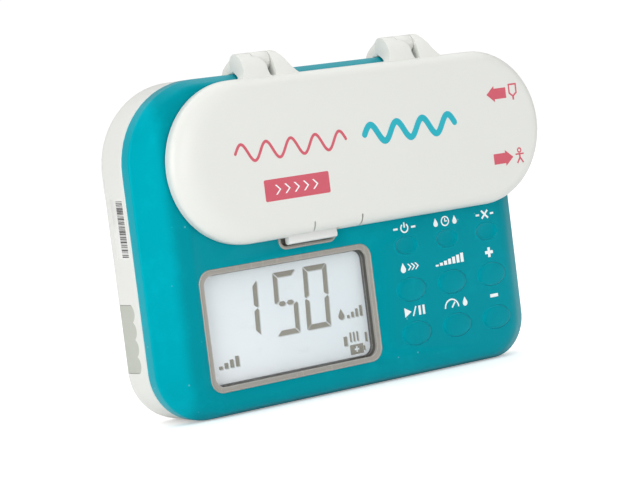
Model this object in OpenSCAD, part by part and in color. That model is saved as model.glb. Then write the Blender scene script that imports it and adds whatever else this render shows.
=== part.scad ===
// Portable enteral feeding pump with a hinged pump door, keypad and display.
// Axes: +X to the right of a person facing the keys, -Y out of the front, +Z up.
// Origin: middle of the flat underside that the pump stands on.

/* [Case] */
// Width of the case
body_w = 131.6; // [110:0.2:160]
// Height of the case
body_h = 95.6; // [85:0.2:115]
// Depth of the rear shell behind the parting line
rear_d = 14.2; // [12:0.1:20]
// Depth of the straight rim of the front cover
rim_d = 4.3; // [3:0.1:6]
// Rise of the sloping shoulder around the front face
shoulder_d = 3.1; // [2:0.1:4.5]
// Width of the shoulder on the left
shoulder_l = 8.7; // [5:0.1:12]
// Width of the shoulder on the right
shoulder_r = 5; // [3:0.1:8]
// Width of the shoulder at the top
shoulder_t = 2; // [1:0.1:4]
// Width of the shoulder at the bottom
shoulder_b = 1.6; // [1:0.1:4]
// Corner radius, top left
corner_tl = 24; // [16:0.5:28]
// Corner radius, top right
corner_tr = 30; // [16:0.5:32]
// Corner radius, bottom left
corner_bl = 15.5; // [10:0.5:20]
// Corner radius, bottom right
corner_br = 12.5; // [10:0.5:20]
// Wall of the rear shell
shell_wall = 2; // [1.6:0.1:2.6]
// Rounding of the rear shell's back edges
back_round = 4; // [2.5:0.1:6]
// Thickness of the soft coloured cover
skin_t = 1.2; // [1:0.1:1.6]
// Thickness of the hard front frame
frame_t = 1.8; // [1.5:0.1:2.2]

/* [Door] */
// Distance from the case's left side to the door's left end
door_inset = 9.5; // [7:0.1:14]
// Height of the door
door_h = 46.5; // [40:0.5:50]
// How far the door stands out of the front face
door_t = 5.9; // [5:0.1:8]
// Overhang of the door past the right side of the case
door_over = 9.4; // [4:0.1:12]
// Gap from the case's top edge down to the door's top edge
door_drop = 1.6; // [1:0.1:4]
// Wall of the door shell
door_wall = 1.6; // [1.2:0.1:2]
// Edge rounding of the door
door_round = 3.6; // [2:0.1:4]
// Length of the long taper at the door's left end
door_taper = 10; // [4:0.5:14]
// Largest opening angle of the door
door_open_deg = 125; // [90:5:150]

/* [Hinges] */
// Radius of the hinge knuckles
knuckle_r = 2.75; // [2.4:0.05:3]
// Radius of the hinge pins
hinge_pin_r = 1.1; // [0.8:0.05:1.3]
// Width of the door's left arm at a hinge
knuckle_w = 8; // [6:0.1:10]
// Width of the case knuckle that the pin is pressed into
lug_w = 5.5; // [5:0.1:6]
// Width of the door's right arm at its foot
fin_w = 8; // [6:0.1:10]
// Left end of the first hinge
hinge_x0 = -28.1; // [-40:0.1:-20]
// Distance between the two hinges
hinge_pitch = 51.3; // [40:0.1:60]

/* [Display] */
// Width of the display frame
lcd_w = 59.5; // [50:0.1:62]
// Gap from the door's lower edge down to the display frame
lcd_gap = 5.5; // [5:0.1:8]
// Distance from the case's left side to the display frame
lcd_inset = 15.7; // [14:0.1:18]
// Bottom edge of the display frame
lcd_z = 7; // [6:0.1:10]
// Corner radius of the display frame
lcd_r = 4; // [2:0.1:6]
// Width of the display frame's lip
lcd_lip = 1.6; // [1:0.1:2.5]
// Depth of the lens below the front face
lens_drop = 2; // [1.5:0.1:2.4]

/* [Keys] */
// Width of a key
key_w = 10.9; // [8:0.1:12]
// Height of a key
key_h = 7.2; // [5:0.1:8]
// Smaller size of the top row, as a share of the others
key_top_share = 0.8; // [0.7:0.05:1]
// Distance between key columns
key_pitch_x = 15.3; // [13:0.1:16]
// Distance from the last key column to the case's right side
key_inset = 12.5; // [11:0.1:14]
// Distance from the door's lower edge down to the top key row
key_gap_top = 8.4; // [8:0.1:10]
// Middle of the bottom key row
key_z0 = 12.7; // [11:0.1:14]
// Travel of a key
key_travel = 0.7; // [0.4:0.05:0.8]

/* [Pump bay] */
// Distance from the door's left end to the bay
bay_inset_l = 16.3; // [15:0.1:20]
// Distance from the bay to the case's right side
bay_inset_r = 8.8; // [8:0.1:14]
// Depth of the bay floor below the front face
bay_d = 9; // [8:0.1:9.5]
// Height of the bay
bay_h = 33; // [30:0.5:36]
// Wall of the bay tray
bay_wall = 1.4; // [1.2:0.1:2]
// Width of a tubing channel
tube_slot_w = 5.6; // [5:0.1:6.5]
// Half distance between the inlet and outlet channels
tube_half = 9.9; // [9:0.1:11]
// Distance from the bay's left end to the middle of the rotor
rotor_inset = 20; // [18:0.5:24]
// Radius of a roller
roller_r = 3; // [2.5:0.1:3.5]
// Radius of the roller circle
roller_pitch_r = 8.6; // [7.5:0.1:9]

/* [Drive] */
// Gear module
gear_module = 0.5; // [0.4:0.05:0.5]
// Teeth of the rotor gear
rotor_teeth = 48; // [40:4:48]
// Teeth of the idler
idler_teeth = 36; // [28:4:36]
// Teeth of the motor pinion
pinion_teeth = 12; // [12:2:16]
// Width of the gears
gear_w = 2.6; // [2:0.1:3]
// Radius of the motor can
motor_r = 7; // [6:0.1:7.4]

/* [Clearances] */
// Gap beside a sliding key
key_gap = 0.25; // [0.2:0.05:0.4]
// Gap between neighbouring covers and inserts
part_gap = 0.1; // [0.05:0.05:0.2]
// Radial running clearance of pins and shafts
run_gap = 0.05; // [0.02:0.01:0.1]
// Gap between the closed door and the front face
door_gap = 0.3; // [0.2:0.05:0.5]

/* [Rear mount] */
// Width of the rear mounting boss
boss_w = 64; // [50:1:80]
// Height of the rear mounting boss
boss_h = 62; // [50:1:70]
// Thickness of the rear mounting boss
boss_t = 8.1; // [7:0.1:10]
// Width of the clamp channel's mouth
channel_w = 22; // [18:0.5:26]
// Undercut of the clamp channel on each side
channel_cut = 3; // [2:0.5:4]
// Depth of the clamp channel
channel_d = 6; // [5:0.1:6.5]
// Thickness of the lips that hold the clamp
channel_lip = 1.8; // [1.5:0.1:2]
// Radius of the threaded insert's hole
insert_hole_r = 1.65; // [1.25:0.05:2]

/* [Hidden] */
part_y = -6;
back_y = part_y + rear_d;
boss_y = back_y + boss_t;
rim_y = part_y - rim_d;
front_y = rim_y - shoulder_d;
door_y = front_y - door_t;
half_w = body_w / 2;
plate_y = front_y + skin_t + part_gap;
plate_back_y = plate_y + frame_t;
inner_back_y = back_y - shell_wall;

door_x1 = half_w + door_over;
door_x0 = -half_w + door_inset;
door_w = door_x1 - door_x0;
door_z1 = body_h - door_drop;
door_z0 = door_z1 - door_h;
door_mid_z = (door_z0 + door_z1) / 2;
door_back_y = front_y - door_gap;
liner_t = 1.2;
liner_front_y = door_back_y - liner_t;
liner_gap = 0.3;
liner_gap_l = 0.7;
door_screw_places = [
    [door_x0 + 18.3, 6], [door_x0 + 74.3, 6], [door_x1 - 13.2, 0], [door_x0 + 50.3, -2]
];

hinge_y = front_y + 1.8;
hinge_z = body_h + knuckle_r + 0.1;
hinge_side_gap = 0.25;
// Left side and top width of the door's right arm, from the hinge's left end
fin_inset = knuckle_w + 2.5;
fin_top_w = 2.6;
pin_end = 1.2;

bay_x0 = door_x0 + bay_inset_l;
bay_x1 = half_w - bay_inset_r;
rotor_x = bay_x0 + rotor_inset;
rotor_z = door_mid_z;
bay_floor_y = front_y + bay_d;
tray_back_y = bay_floor_y + bay_wall;
bay_z0 = rotor_z - bay_h / 2;
bay_z1 = rotor_z + bay_h / 2;
bay_r = 11;
sensor_xs = [bay_x0 + 48, bay_x0 + 62];
sensor_r = 3;
air_sensor_x = bay_x1 - 25;
pad_x0 = bay_x0 + 42;
pad_l = 26;

gear_y0 = tray_back_y + 0.5;
gear_y1 = gear_y0 + gear_w;
gear_plate_y = gear_y1 + 0.6;
gear_plate_t = 1.2;
gear_plate_back_y = gear_plate_y + gear_plate_t;
rotor_r_pitch = gear_module * rotor_teeth / 2;
idler_r_pitch = gear_module * idler_teeth / 2;
pinion_r_pitch = gear_module * pinion_teeth / 2;
idler_x = rotor_x - rotor_r_pitch - idler_r_pitch;
motor_x = idler_x - idler_r_pitch - pinion_r_pitch;
shaft_r = 2;
bush_r = 3.4;
post_r = 1.2;
motor_shaft_r = 0.9;
frame_face_x0 = -half_w + shoulder_l + skin_t + part_gap + frame_t;
motor_front_y = plate_back_y + part_gap
    + shoulder_d * (frame_face_x0 - motor_x + motor_r) / shoulder_l;
hub_front_y = front_y + 1;
hub_back_y = bay_floor_y - 0.6;
hub_r = 6.2;
flange_r = 10.2;
flange_t = 1.4;
roller_pin_r = 1;
roller_count = 3;

lcd_x = -half_w + lcd_inset;
lcd_h = door_z0 - lcd_gap - lcd_z;
lens_y = front_y + lens_drop;
lens_t = 1;
panel_y = lens_y + lens_t + part_gap;
panel_t = 1.6;
light_y = panel_y + panel_t + part_gap;
light_t = 2.2;

key_x0 = half_w - key_inset - 2 * key_pitch_x;
key_pitch_z = (door_z0 - key_gap_top - key_z0) / 2;
key_flange = 0.9;
key_flange_t = 0.6;
key_proud = 0.15;
key_flange_y = plate_back_y + 0.1;
key_back_y = key_flange_y + key_flange_t;
dome_t = 0.5;
dome_y = key_back_y + key_travel + 0.1;
keypad_board_y = dome_y + dome_t + part_gap;
board_t = 1.2;

main_board_y = light_y + light_t + 1.2;
battery_y = main_board_y + board_t + 0.5;
battery_t = inner_back_y - battery_y - 0.4;

latch_x0 = door_x0 + 35.9;
latch_slot_d = 2.1;
latch_w = 16.8;
latch_pivot_y = front_y - 2.2;
latch_pivot_z = door_z0 + 3.2;
latch_pin_r = 0.7;
latch_bar_t = 2.2;
latch_bar_z0 = door_z0 - 2.1;
recess_x0 = latch_x0 - 1.7;
recess_w = latch_w + 3.4;
recess_z0 = door_z0 - 3.5;
recess_z1 = door_z0 + 6;
recess_d = 5.6;
recess_lip = 0.9;
strike_x0 = recess_x0 + 0.4;
strike_x1 = recess_x0 + recess_w - 0.4;
strike_z0 = door_z0 + 1.1;
strike_h = 2;
strike_y = plate_y + 0.4;
strike_t = 1;
hook_gap = 0.6;
hook_neck_z = door_z0 - 0.9;
hook_neck_h = 1.3;
hook_w = 8;
hook_t = 1;
hook_barb = 1;

screw_r = 1.5;
screw_inset = 9;
screw_places = [
    [-half_w + screw_inset, door_z0 - 4.5],
    [half_w - screw_inset + 2, door_z0 + 5.3],
    [-half_w + corner_bl, screw_inset - 2],
    [key_x0 + 1.5 * key_pitch_x, screw_inset - 2]
];
slit_w = 0.5;
slit_x = [latch_x0 + 7.9, latch_x0 + 24.7];

grip_z0 = 15.4;
grip_h = 19.6;
grip_d = 7.2;
grip_depth = 0.8;

port_w = 13;
port_h = 6.4;
port_d = 4.6;
port_z = grip_z0 + grip_h + 7.5;
port_mid_y = part_y + 6.2;

speaker_x = half_w - 19.8;
speaker_z = 28;
speaker_r = 9;

label_z0 = 48;
label_h = 17;

$fn = 48;
eps = 0.01;

white = [0.91, 0.91, 0.88];
teal = [0, 0.62, 0.66];
taupe = [0.66, 0.62, 0.57];
grip_green = [0.74, 0.75, 0.7];
dark = [0.15, 0.15, 0.16];
steel = [0.72, 0.73, 0.75];
brass = [0.8, 0.66, 0.35];
board_green = [0.1, 0.36, 0.22];

// Extrudes a front-view outline from y0 (nearer the front) to y1.
module slab(y0, y1) {
    translate([0, y1, 0]) rotate([90, 0, 0]) linear_extrude(y1 - y0) children();
}

// Extrudes a side-view outline, drawn as [y, z], from x0 to x1.
module side_slab(x0, x1) {
    translate([x0, 0, 0]) rotate([90, 0, 90]) linear_extrude(x1 - x0) children();
}

// A round bar along Y.
module bar_y(x, z, y0, y1, r) {
    translate([x, y1, z]) rotate([90, 0, 0]) cylinder(r = r, h = y1 - y0);
}

// A round bar along X.
module bar_x(x0, x1, y, z, r) {
    translate([x0, y, z]) rotate([0, 90, 0]) cylinder(r = r, h = x1 - x0);
}

module box(x0, x1, y0, y1, z0, z1) {
    translate([x0, y0, z0]) cube([x1 - x0, y1 - y0, z1 - z0]);
}

// A rectangle with its own radius at each corner: bottom left, bottom right, top right, top left.
module rounded(l, r, b, t, bl, br, tr, tl) {
    polygon([
        [l + bl, b], [r - br, b], [r, b + br], [r, t - tr],
        [r - tr, t], [l + tl, t], [l, t - tl], [l, b + bl]
    ]);
    translate([l + bl, b + bl]) circle(bl);
    translate([r - br, b + br]) circle(br);
    translate([r - tr, t - tr]) circle(tr);
    translate([l + tl, t - tl]) circle(tl);
}

module even_rounded(l, r, b, t, rad) {
    rounded(l, r, b, t, rad, rad, rad, rad);
}

// Outline of the case, shrunk by an inset.
module case_outline(i = 0) {
    rounded(
        -half_w + i, half_w - i, i, body_h - i,
        corner_bl - i, corner_br - i, corner_tr - i, corner_tl - i
    );
}

// Outline of the flat front face, inside the sloping shoulder.
module face_outline(i = 0) {
    rounded(
        -half_w + shoulder_l + i, half_w - shoulder_r - i,
        shoulder_b + i, body_h - shoulder_t - i,
        corner_bl - shoulder_b - i, corner_br - shoulder_b - i,
        corner_tr - shoulder_t - i, corner_tl - shoulder_l - i
    );
}

// The front cover's outer form, shrunk by an inset, carried back to y_end.
module front_form(i, y_end) {
    hull() {
        slab(rim_y + i, y_end) case_outline(i, $fn = 64);
        slab(front_y + i, front_y + i + eps) face_outline(i, $fn = 64);
    }
}

// The rear shell's outer form, shrunk by an inset, from the parting line back.
module rear_form(i) {
    round_r = back_round - i * 0.5;
    hull() {
        slab(part_y, back_y - i - round_r) case_outline(i, $fn = 64);
        for (a = [30, 60, 90]) {
            slab(part_y, back_y - i - round_r * (1 - sin(a)))
                case_outline(i + round_r * (1 - cos(a)), $fn = 64);
        }
    }
}

function key_at(col, row) = [key_x0 + key_pitch_x * col, key_z0 + key_pitch_z * row];
function key_share(row) = row == 2 ? key_top_share : 1;

module oval(w, h) {
    polygon([for (a = [0:7.5:359]) [w / 2 * cos(a), h / 2 * sin(a)]]);
}

module at_key(col, row) {
    at = key_at(col, row);
    translate([at[0], 0, at[1]]) children();
}

module all_key_holes(y0, y1, gap) {
    for (col = [0:2], row = [0:2]) {
        at_key(col, row) slab(y0, y1)
            oval(key_w * key_share(row) + 2 * gap, key_h * key_share(row) + 2 * gap);
    }
}

module lcd_outline(i) {
    even_rounded(lcd_x + i, lcd_x + lcd_w - i, lcd_z + i, lcd_z + lcd_h - i, lcd_r - i * 0.6);
}

module recess_outline(i) {
    even_rounded(recess_x0 + i, recess_x0 + recess_w - i, recess_z0 + i, recess_z1 - i, 2.6 - i);
}

module bay_outline(i) {
    even_rounded(bay_x0 - i, bay_x1 + i, bay_z0 - i, bay_z1 + i, bay_r + i);
}

// The two tubing channels, from the bay out through the right side.
module tube_channels(x0, gap) {
    for (side = [-1, 1]) {
        z = rotor_z + side * tube_half;
        box(x0, half_w + 1, front_y - 1, front_y + tube_slot_w + 0.4 + gap,
            z - tube_slot_w / 2 - gap, z + tube_slot_w / 2 + gap);
    }
}

module at_screws() {
    for (p = screw_places) translate([p[0], 0, p[1]]) children();
}

// One case lug for the hinge that starts at x0: a foot behind the door's arms,
// and a knuckle that reaches forward between them to hold the pin.
module case_lug(x0) {
    x2 = x0 + fin_inset - hinge_side_gap;
    x1 = x2 - lug_w;
    foot_y = hinge_y + knuckle_r + 0.85;
    difference() {
        union() {
            bar_x(x1, x2, hinge_y, hinge_z, knuckle_r);
            side_slab(x1, x2) polygon([
                [hinge_y, hinge_z + 0.4], [foot_y + 1.5, hinge_z + 0.4],
                [foot_y + 1.5, body_h + 0.15], [hinge_y, body_h + 0.15]
            ]);
            intersection() {
                side_slab(x0 - 1, x0 + fin_inset + fin_w) polygon([
                    [foot_y, hinge_z + knuckle_r - 0.5], [part_y + 0.3, hinge_z + knuckle_r - 1],
                    [part_y + 2, hinge_z + 0.2], [part_y + 4.5, body_h - 0.5], [part_y + 0.5, body_h - 2],
                    [part_y + 0.5, body_h + 0.15], [foot_y, body_h + 0.15]
                ]);
                slab(foot_y - 1, part_y + 9) polygon([
                    [x0 + 1.2, body_h - 3], [x0 + fin_inset + 4.6, body_h - 3],
                    [x0 + fin_inset + 4.6, body_h + 0.6], [x0 + fin_inset + 1.4, hinge_z + knuckle_r],
                    [x0 + 3.2, hinge_z + knuckle_r], [x0 + 1.2, body_h + 1.6]
                ]);
            }
        }
        bar_x(x1 - 1, x2 + 1, hinge_y, hinge_z, hinge_pin_r);
    }
}

module back_shell() color(white) {
    difference() {
        union() {
            difference() {
                rear_form(0);
                translate([0, -eps, 0]) rear_form(shell_wall);
            }
            // Rear mounting boss
            slab(back_y - shell_wall, boss_y)
                even_rounded(-boss_w / 2, boss_w / 2, (body_h - boss_h) / 2, (body_h + boss_h) / 2, 8);
            at_screws() bar_y(0, 0, part_y + 2, inner_back_y + 0.5, screw_r + 1.6);
            case_lug(hinge_x0);
            case_lug(hinge_x0 + hinge_pitch);
        }
        // T-shaped channel for the pole clamp's tongue, open at the bottom
        box(-channel_w / 2, channel_w / 2, boss_y - channel_d, boss_y + 1,
            (body_h - boss_h) / 2 - 1, (body_h + boss_h) / 2 - 8);
        box(-channel_w / 2 - channel_cut, channel_w / 2 + channel_cut,
            boss_y - channel_d, boss_y - channel_lip,
            (body_h - boss_h) / 2 - 1, (body_h + boss_h) / 2 - 8);
        bar_y(0, body_h / 2, inner_back_y - 0.5, boss_y, 2.6);
        at_screws() bar_y(0, 0, part_y, back_y + 1, screw_r + 0.2);
        at_screws() bar_y(0, 0, back_y - 1.6, back_y + 1, screw_r + 1.4);
        // Finger grips on both sides
        for (s = [-1, 1]) scale([s, 1, 1]) grip_form(0);
        // Recess for the charging port
        box(half_w - shell_wall - 1, half_w + 1,
            port_mid_y - port_h / 2 - part_gap, port_mid_y + port_h / 2 + part_gap,
            port_z - port_w / 2 - part_gap, port_z + port_w / 2 + part_gap);
        // Speaker holes
        for (a = [0:60:300]) {
            bar_y(speaker_x + 4 * cos(a), speaker_z + 4 * sin(a), inner_back_y - 1, back_y + 1, 0.8);
        }
        bar_y(speaker_x, speaker_z, inner_back_y - 1, back_y + 1, 0.8);
    }
}

// A shallow pad with a wavy front edge on the left side wall.
module grip_form(shrink) {
    y1 = back_y - back_round - 0.2;
    translate([-half_w - eps, 0, 0]) rotate([90, 0, 90]) linear_extrude(grip_depth + eps - shrink)
        intersection() {
            union() {
                translate([y1 - grip_d + 2 + shrink, grip_z0 + shrink])
                    square([grip_d - 2 - 2 * shrink, grip_h - 2 * shrink]);
                for (n = [0:3]) {
                    translate([y1 - grip_d + 3, grip_z0 + grip_h * (n + 0.5) / 4])
                        circle(grip_h / 8 + 0.3 - shrink);
                }
            }
            translate([y1 - grip_d - 4, grip_z0 + shrink])
                square([grip_d + 4 - shrink, grip_h - 2 * shrink]);
        }
}

module side_grips() color(grip_green) {
    for (s = [-1, 1]) scale([s, 1, 1]) grip_form(part_gap);
}

module front_frame() color(taupe) {
    difference() {
        union() {
            difference() {
                front_form(skin_t + part_gap, part_y);
                front_form(skin_t + part_gap + frame_t, part_y + 1);
            }
            // Frame around the display, flush with the soft cover
            slab(front_y, light_y) lcd_outline(0);
            // Frame and pocket of the latch
            slab(front_y, front_y + recess_d + 1.2) recess_outline(0);
            // Tongue that locates the rear shell
            difference() {
                slab(part_y - 1, part_y + 2.4) case_outline(shell_wall + 0.3);
                slab(part_y - 2, part_y + 3) case_outline(shell_wall + 1.7);
            }
            at_screws() bar_y(0, 0, plate_back_y - 0.5, part_y + 1.9, screw_r + 1.6);
        }
        slab(front_y - 1, lens_y + 0.2) lcd_outline(lcd_lip);
        slab(lens_y - eps, light_y + 1) lcd_outline(lcd_lip - 0.4);
        slab(front_y - 1, front_y + recess_d) recess_outline(recess_lip);
        slab(front_y - 1, part_y + 3) bay_outline(bay_wall + part_gap);
        all_key_holes(front_y - 1, part_y, key_gap);
        // Room behind the plate for the flange of each key
        all_key_holes(plate_back_y, dome_y, key_flange + key_gap);
        tube_channels(bay_x1 - 2, part_gap);
        at_screws() bar_y(0, 0, plate_back_y + 0.6, part_y + 3, screw_r - 0.15);
        // Seat of the latch strike
        box(strike_x0 - part_gap, strike_x1 + part_gap, strike_y - part_gap, strike_y + strike_t + part_gap,
            strike_z0 - part_gap, strike_z0 + strike_h + part_gap);
    }
}

module front_cover() color(teal) {
    difference() {
        front_form(0, part_y);
        front_form(skin_t, part_y + 1);
        slab(front_y - 1, part_y) lcd_outline(-part_gap);
        slab(front_y - 1, part_y) recess_outline(-part_gap);
        slab(front_y - 1, part_y) bay_outline(bay_wall + part_gap);
        all_key_holes(front_y - 1, part_y, key_gap);
        tube_channels(bay_x1 - 2, part_gap);
    }
}

module case_gasket() color(dark) {
    difference() {
        slab(part_y + 0.4, part_y + 1.4) case_outline(shell_wall + 1.8);
        slab(part_y, part_y + 2) case_outline(shell_wall + 2.8);
        at_screws() bar_y(0, 0, part_y - 1, part_y + 3, screw_r + 2);
        slab(part_y - 1, part_y + 3) bay_outline(bay_wall + 1);
    }
}

module pump_tray() color([0.8, 0.8, 0.78]) {
    difference() {
        slab(front_y + 0.2, tray_back_y) bay_outline(bay_wall);
        slab(front_y - 1, bay_floor_y) bay_outline(0);
        tube_channels(bay_x1 - 2, 0);
        bar_y(rotor_x, rotor_z, bay_floor_y - 1, tray_back_y + 1, bush_r);
        for (x = sensor_xs) bar_y(x, rotor_z - tube_half, bay_floor_y - 1, tray_back_y + 1, sensor_r);
    }
}

module pressure_sensors() color(steel) {
    for (x = sensor_xs) {
        bar_y(x, rotor_z - tube_half, bay_floor_y - 0.8, tray_back_y + 1.6, sensor_r - part_gap);
    }
}

module air_sensor() color(dark) {
    z = rotor_z + tube_half;
    difference() {
        box(air_sensor_x, air_sensor_x + 12, bay_floor_y - 6.5, bay_floor_y - eps, z - 4.6, z + 4.6);
        box(air_sensor_x - 1, air_sensor_x + 13, bay_floor_y - 7, bay_floor_y - 2, z - 2.1, z + 2.1);
    }
}

module lcd_lens() color([0.85, 0.9, 0.92, 0.4]) {
    slab(lens_y, lens_y + lens_t) lcd_outline(lcd_lip + part_gap);
}

module lcd_panel() color([0.8, 0.86, 0.9]) {
    slab(panel_y, panel_y + panel_t) lcd_outline(lcd_lip + 0.4);
}

module lcd_backlight() color("white") {
    slab(light_y, light_y + light_t) lcd_outline(lcd_lip + 0.4);
}

// One key: an oval cap on a wider flange that stops it behind the front frame.
module key_cap(col, row) color(teal) {
    w = key_w * key_share(row);
    h = key_h * key_share(row);
    at_key(col, row) {
        slab(front_y - key_proud, key_flange_y + eps) oval(w, h);
        slab(key_flange_y, key_back_y) oval(w + 2 * key_flange, h + 2 * key_flange);
    }
}

module keypad_outline(i) {
    even_rounded(key_x0 - 7.5 + i, key_x0 + 2 * key_pitch_x + 6.2 - i,
        key_z0 - 5.2 + i, key_z0 + 2 * key_pitch_z + 5.5 - i, 4);
}

module key_domes() color([0.3, 0.3, 0.32]) {
    difference() {
        slab(dome_y, dome_y + dome_t) keypad_outline(0.5);
        at_screws() bar_y(0, 0, dome_y - 1, dome_y + dome_t + 1, screw_r + 2);
    }
}

module keypad_board() color(board_green) {
    difference() {
        slab(keypad_board_y, keypad_board_y + board_t) keypad_outline(0);
        at_screws() bar_y(0, 0, keypad_board_y - 1, keypad_board_y + board_t + 1, screw_r + 2);
    }
}

module main_board() color(board_green) {
    difference() {
        slab(main_board_y, main_board_y + board_t)
            even_rounded(lcd_x - 4, key_x0 + 30, screw_inset + 4, bay_z0 - 3, 2);
        at_screws() bar_y(0, 0, main_board_y - 1, main_board_y + board_t + 1, screw_r + 2);
    }
    // Main chips
    box(lcd_x + 20, lcd_x + 32, main_board_y - 1, main_board_y + eps, 20, 32);
    box(key_x0 - 5, key_x0 + 5, main_board_y + board_t - eps, main_board_y + board_t + 1.2, 20, 28);
}

module battery_pack() color([0.2, 0.35, 0.6]) {
    slab(battery_y, battery_y + battery_t)
        even_rounded(lcd_x - 2, lcd_x + lcd_w + 2.6, screw_inset + 5, door_z0 - 1.5, 2);
}

module ribbon_cable() color([0.85, 0.6, 0.25]) {
    box(key_x0 - 7, key_x0 + 3, keypad_board_y + board_t, main_board_y, key_z0 + 1.3, key_z0 + 1.9);
}

module speaker() color(dark) {
    bar_y(speaker_x, speaker_z, inner_back_y - 3.2, inner_back_y - part_gap, speaker_r);
}

module charge_port() color(dark) {
    difference() {
        box(half_w - port_d - 1.5, half_w - 0.2, port_mid_y - port_h / 2, port_mid_y + port_h / 2,
            port_z - port_w / 2, port_z + port_w / 2);
        box(half_w - port_d - 0.2, half_w + 1, port_mid_y - port_h / 2 + 0.9, port_mid_y + port_h / 2 - 0.9,
            port_z - port_w / 2 + 0.9, port_z + port_w / 2 - 0.9);
    }
}

module serial_label() color("white") {
    box(-half_w - 0.1, -half_w, part_y + 1.6, part_y + 8.6, label_z0, label_z0 + label_h);
}

module clamp_insert() color(brass) {
    difference() {
        bar_y(0, body_h / 2, inner_back_y, boss_y - channel_d, 2.6 - 0.02);
        bar_y(0, body_h / 2, inner_back_y - 1, boss_y, insert_hole_r);
    }
}

module case_screws() color(steel) {
    at_screws() {
        bar_y(0, 0, plate_back_y + 1.2, back_y - 1.6 + eps, screw_r - 0.15);
        difference() {
            bar_y(0, 0, back_y - 1.6, back_y - 0.4, screw_r + 1.2);
            bar_y(0, 0, back_y - 1.2, back_y + 1, 0.8, $fn = 6);
        }
    }
}

module hinge_pins() color(steel) {
    for (n = [0, 1]) {
        x0 = hinge_x0 + hinge_pitch * n;
        bar_x(x0 + pin_end, x0 + fin_inset + fin_top_w - 0.9, hinge_y, hinge_z, hinge_pin_r);
    }
}

module latch_strike() color(steel) {
    box(strike_x0, strike_x1, strike_y, strike_y + strike_t, strike_z0, strike_z0 + strike_h);
}

module gear_plate() color(steel) {
    difference() {
        slab(gear_plate_y, gear_plate_back_y)
            even_rounded(motor_x - 7, rotor_x + 12, rotor_z - 12, rotor_z + 12, 3);
        bar_y(rotor_x, rotor_z, gear_plate_y - 1, gear_plate_back_y + 1, bush_r);
        bar_y(idler_x, rotor_z, gear_plate_y - 1, gear_plate_back_y + 1, post_r);
    }
    for (x = [motor_x - 3, rotor_x + 9], z = [rotor_z - 8.6, rotor_z + 8.6]) {
        bar_y(x, z, gear_plate_back_y - eps, inner_back_y - part_gap, 1.6);
    }
}

module idler_post() color(steel) {
    bar_y(idler_x, rotor_z, gear_y0 - 0.3, gear_plate_back_y, post_r);
}

module bush(y0, y1) {
    difference() {
        bar_y(rotor_x, rotor_z, y0, y1, bush_r);
        bar_y(rotor_x, rotor_z, y0 - 1, y1 + 1, shaft_r + run_gap);
    }
}

module rotor_bush_front() color(brass) {
    bush(bay_floor_y, tray_back_y);
}

module rotor_bush_rear() color(brass) {
    bush(gear_plate_y, gear_plate_back_y);
}

module motor_can() color(steel) {
    difference() {
        bar_y(motor_x, rotor_z, motor_front_y, gear_y0 - 0.4, motor_r);
        bar_y(motor_x, rotor_z, motor_front_y + 0.6, gear_y0, motor_shaft_r + run_gap);
    }
}

// A spur gear about its own centre, with one tooth on the given angle.
module gear_teeth(teeth, first_deg) {
    r = gear_module * teeth / 2;
    step = 360 / teeth;
    polygon([
        for (n = [0:teeth - 1], k = [0:3])
            let (a = first_deg + n * step + [-0.3, -0.13, 0.13, 0.3][k] * step)
            let (rad = r + [-1.15, 0.85, 0.85, -1.15][k] * gear_module)
            [rad * cos(a), rad * sin(a)]
    ]);
}

module gear(x, teeth, first_deg, bore_r) {
    difference() {
        translate([x, 0, rotor_z]) slab(gear_y0, gear_y1) gear_teeth(teeth, first_deg);
        bar_y(x, rotor_z, gear_y0 - 1, gear_y1 + 1, bore_r);
    }
}

module rotor_gear() color(brass) {
    gear(rotor_x, rotor_teeth, 0, shaft_r);
}

module idler_gear() color(brass) {
    gear(idler_x, idler_teeth, 180 / idler_teeth, post_r + run_gap);
}

module motor_pinion() color(steel) {
    gear(motor_x, pinion_teeth, 180 / pinion_teeth * (idler_teeth % 2 == 0 ? 0 : 1), eps);
    bar_y(motor_x, rotor_z, motor_front_y + 1, gear_y0 + eps, motor_shaft_r);
}

module rotor_shaft() color(steel) {
    bar_y(rotor_x, rotor_z, hub_front_y + 0.6, gear_plate_back_y + 0.6, shaft_r);
}

function roller_at(n) = [
    rotor_x + roller_pitch_r * cos(90 + 360 / roller_count * n),
    rotor_z + roller_pitch_r * sin(90 + 360 / roller_count * n)
];

module rotor_hub() color([0.85, 0.85, 0.83]) {
    difference() {
        union() {
            bar_y(rotor_x, rotor_z, hub_front_y, hub_back_y, hub_r - 1.2);
            bar_y(rotor_x, rotor_z, hub_front_y, hub_front_y + flange_t, flange_r);
            bar_y(rotor_x, rotor_z, hub_back_y - flange_t, hub_back_y, flange_r);
        }
        bar_y(rotor_x, rotor_z, hub_front_y + 0.6, hub_back_y + 1, shaft_r);
        for (n = [0:roller_count - 1]) {
            at = roller_at(n);
            bar_y(at[0], at[1], hub_front_y - 1, hub_back_y + 1, roller_pin_r);
        }
    }
}

module roller_pins() color(steel) {
    for (n = [0:roller_count - 1]) {
        at = roller_at(n);
        bar_y(at[0], at[1], hub_front_y, hub_back_y, roller_pin_r);
    }
}

module roller(n) color([0.93, 0.93, 0.9]) {
    at = roller_at(n);
    difference() {
        bar_y(at[0], at[1], hub_front_y + flange_t + 0.15, hub_back_y - flange_t - 0.15, roller_r);
        bar_y(at[0], at[1], hub_front_y, hub_back_y, roller_pin_r + run_gap);
    }
}

// Door outline at a given distance in from the edge, with its own inset at the left end.
module door_outline(i, left_i) {
    r = door_h / 2 - i;
    translate([door_x0 + left_i + r, door_mid_z]) circle(r);
    translate([door_x1 - i - r, door_mid_z]) circle(r);
    translate([door_x0 + left_i + r, door_mid_z - r])
        square([door_w - left_i - i - 2 * r, 2 * r]);
}

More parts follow.
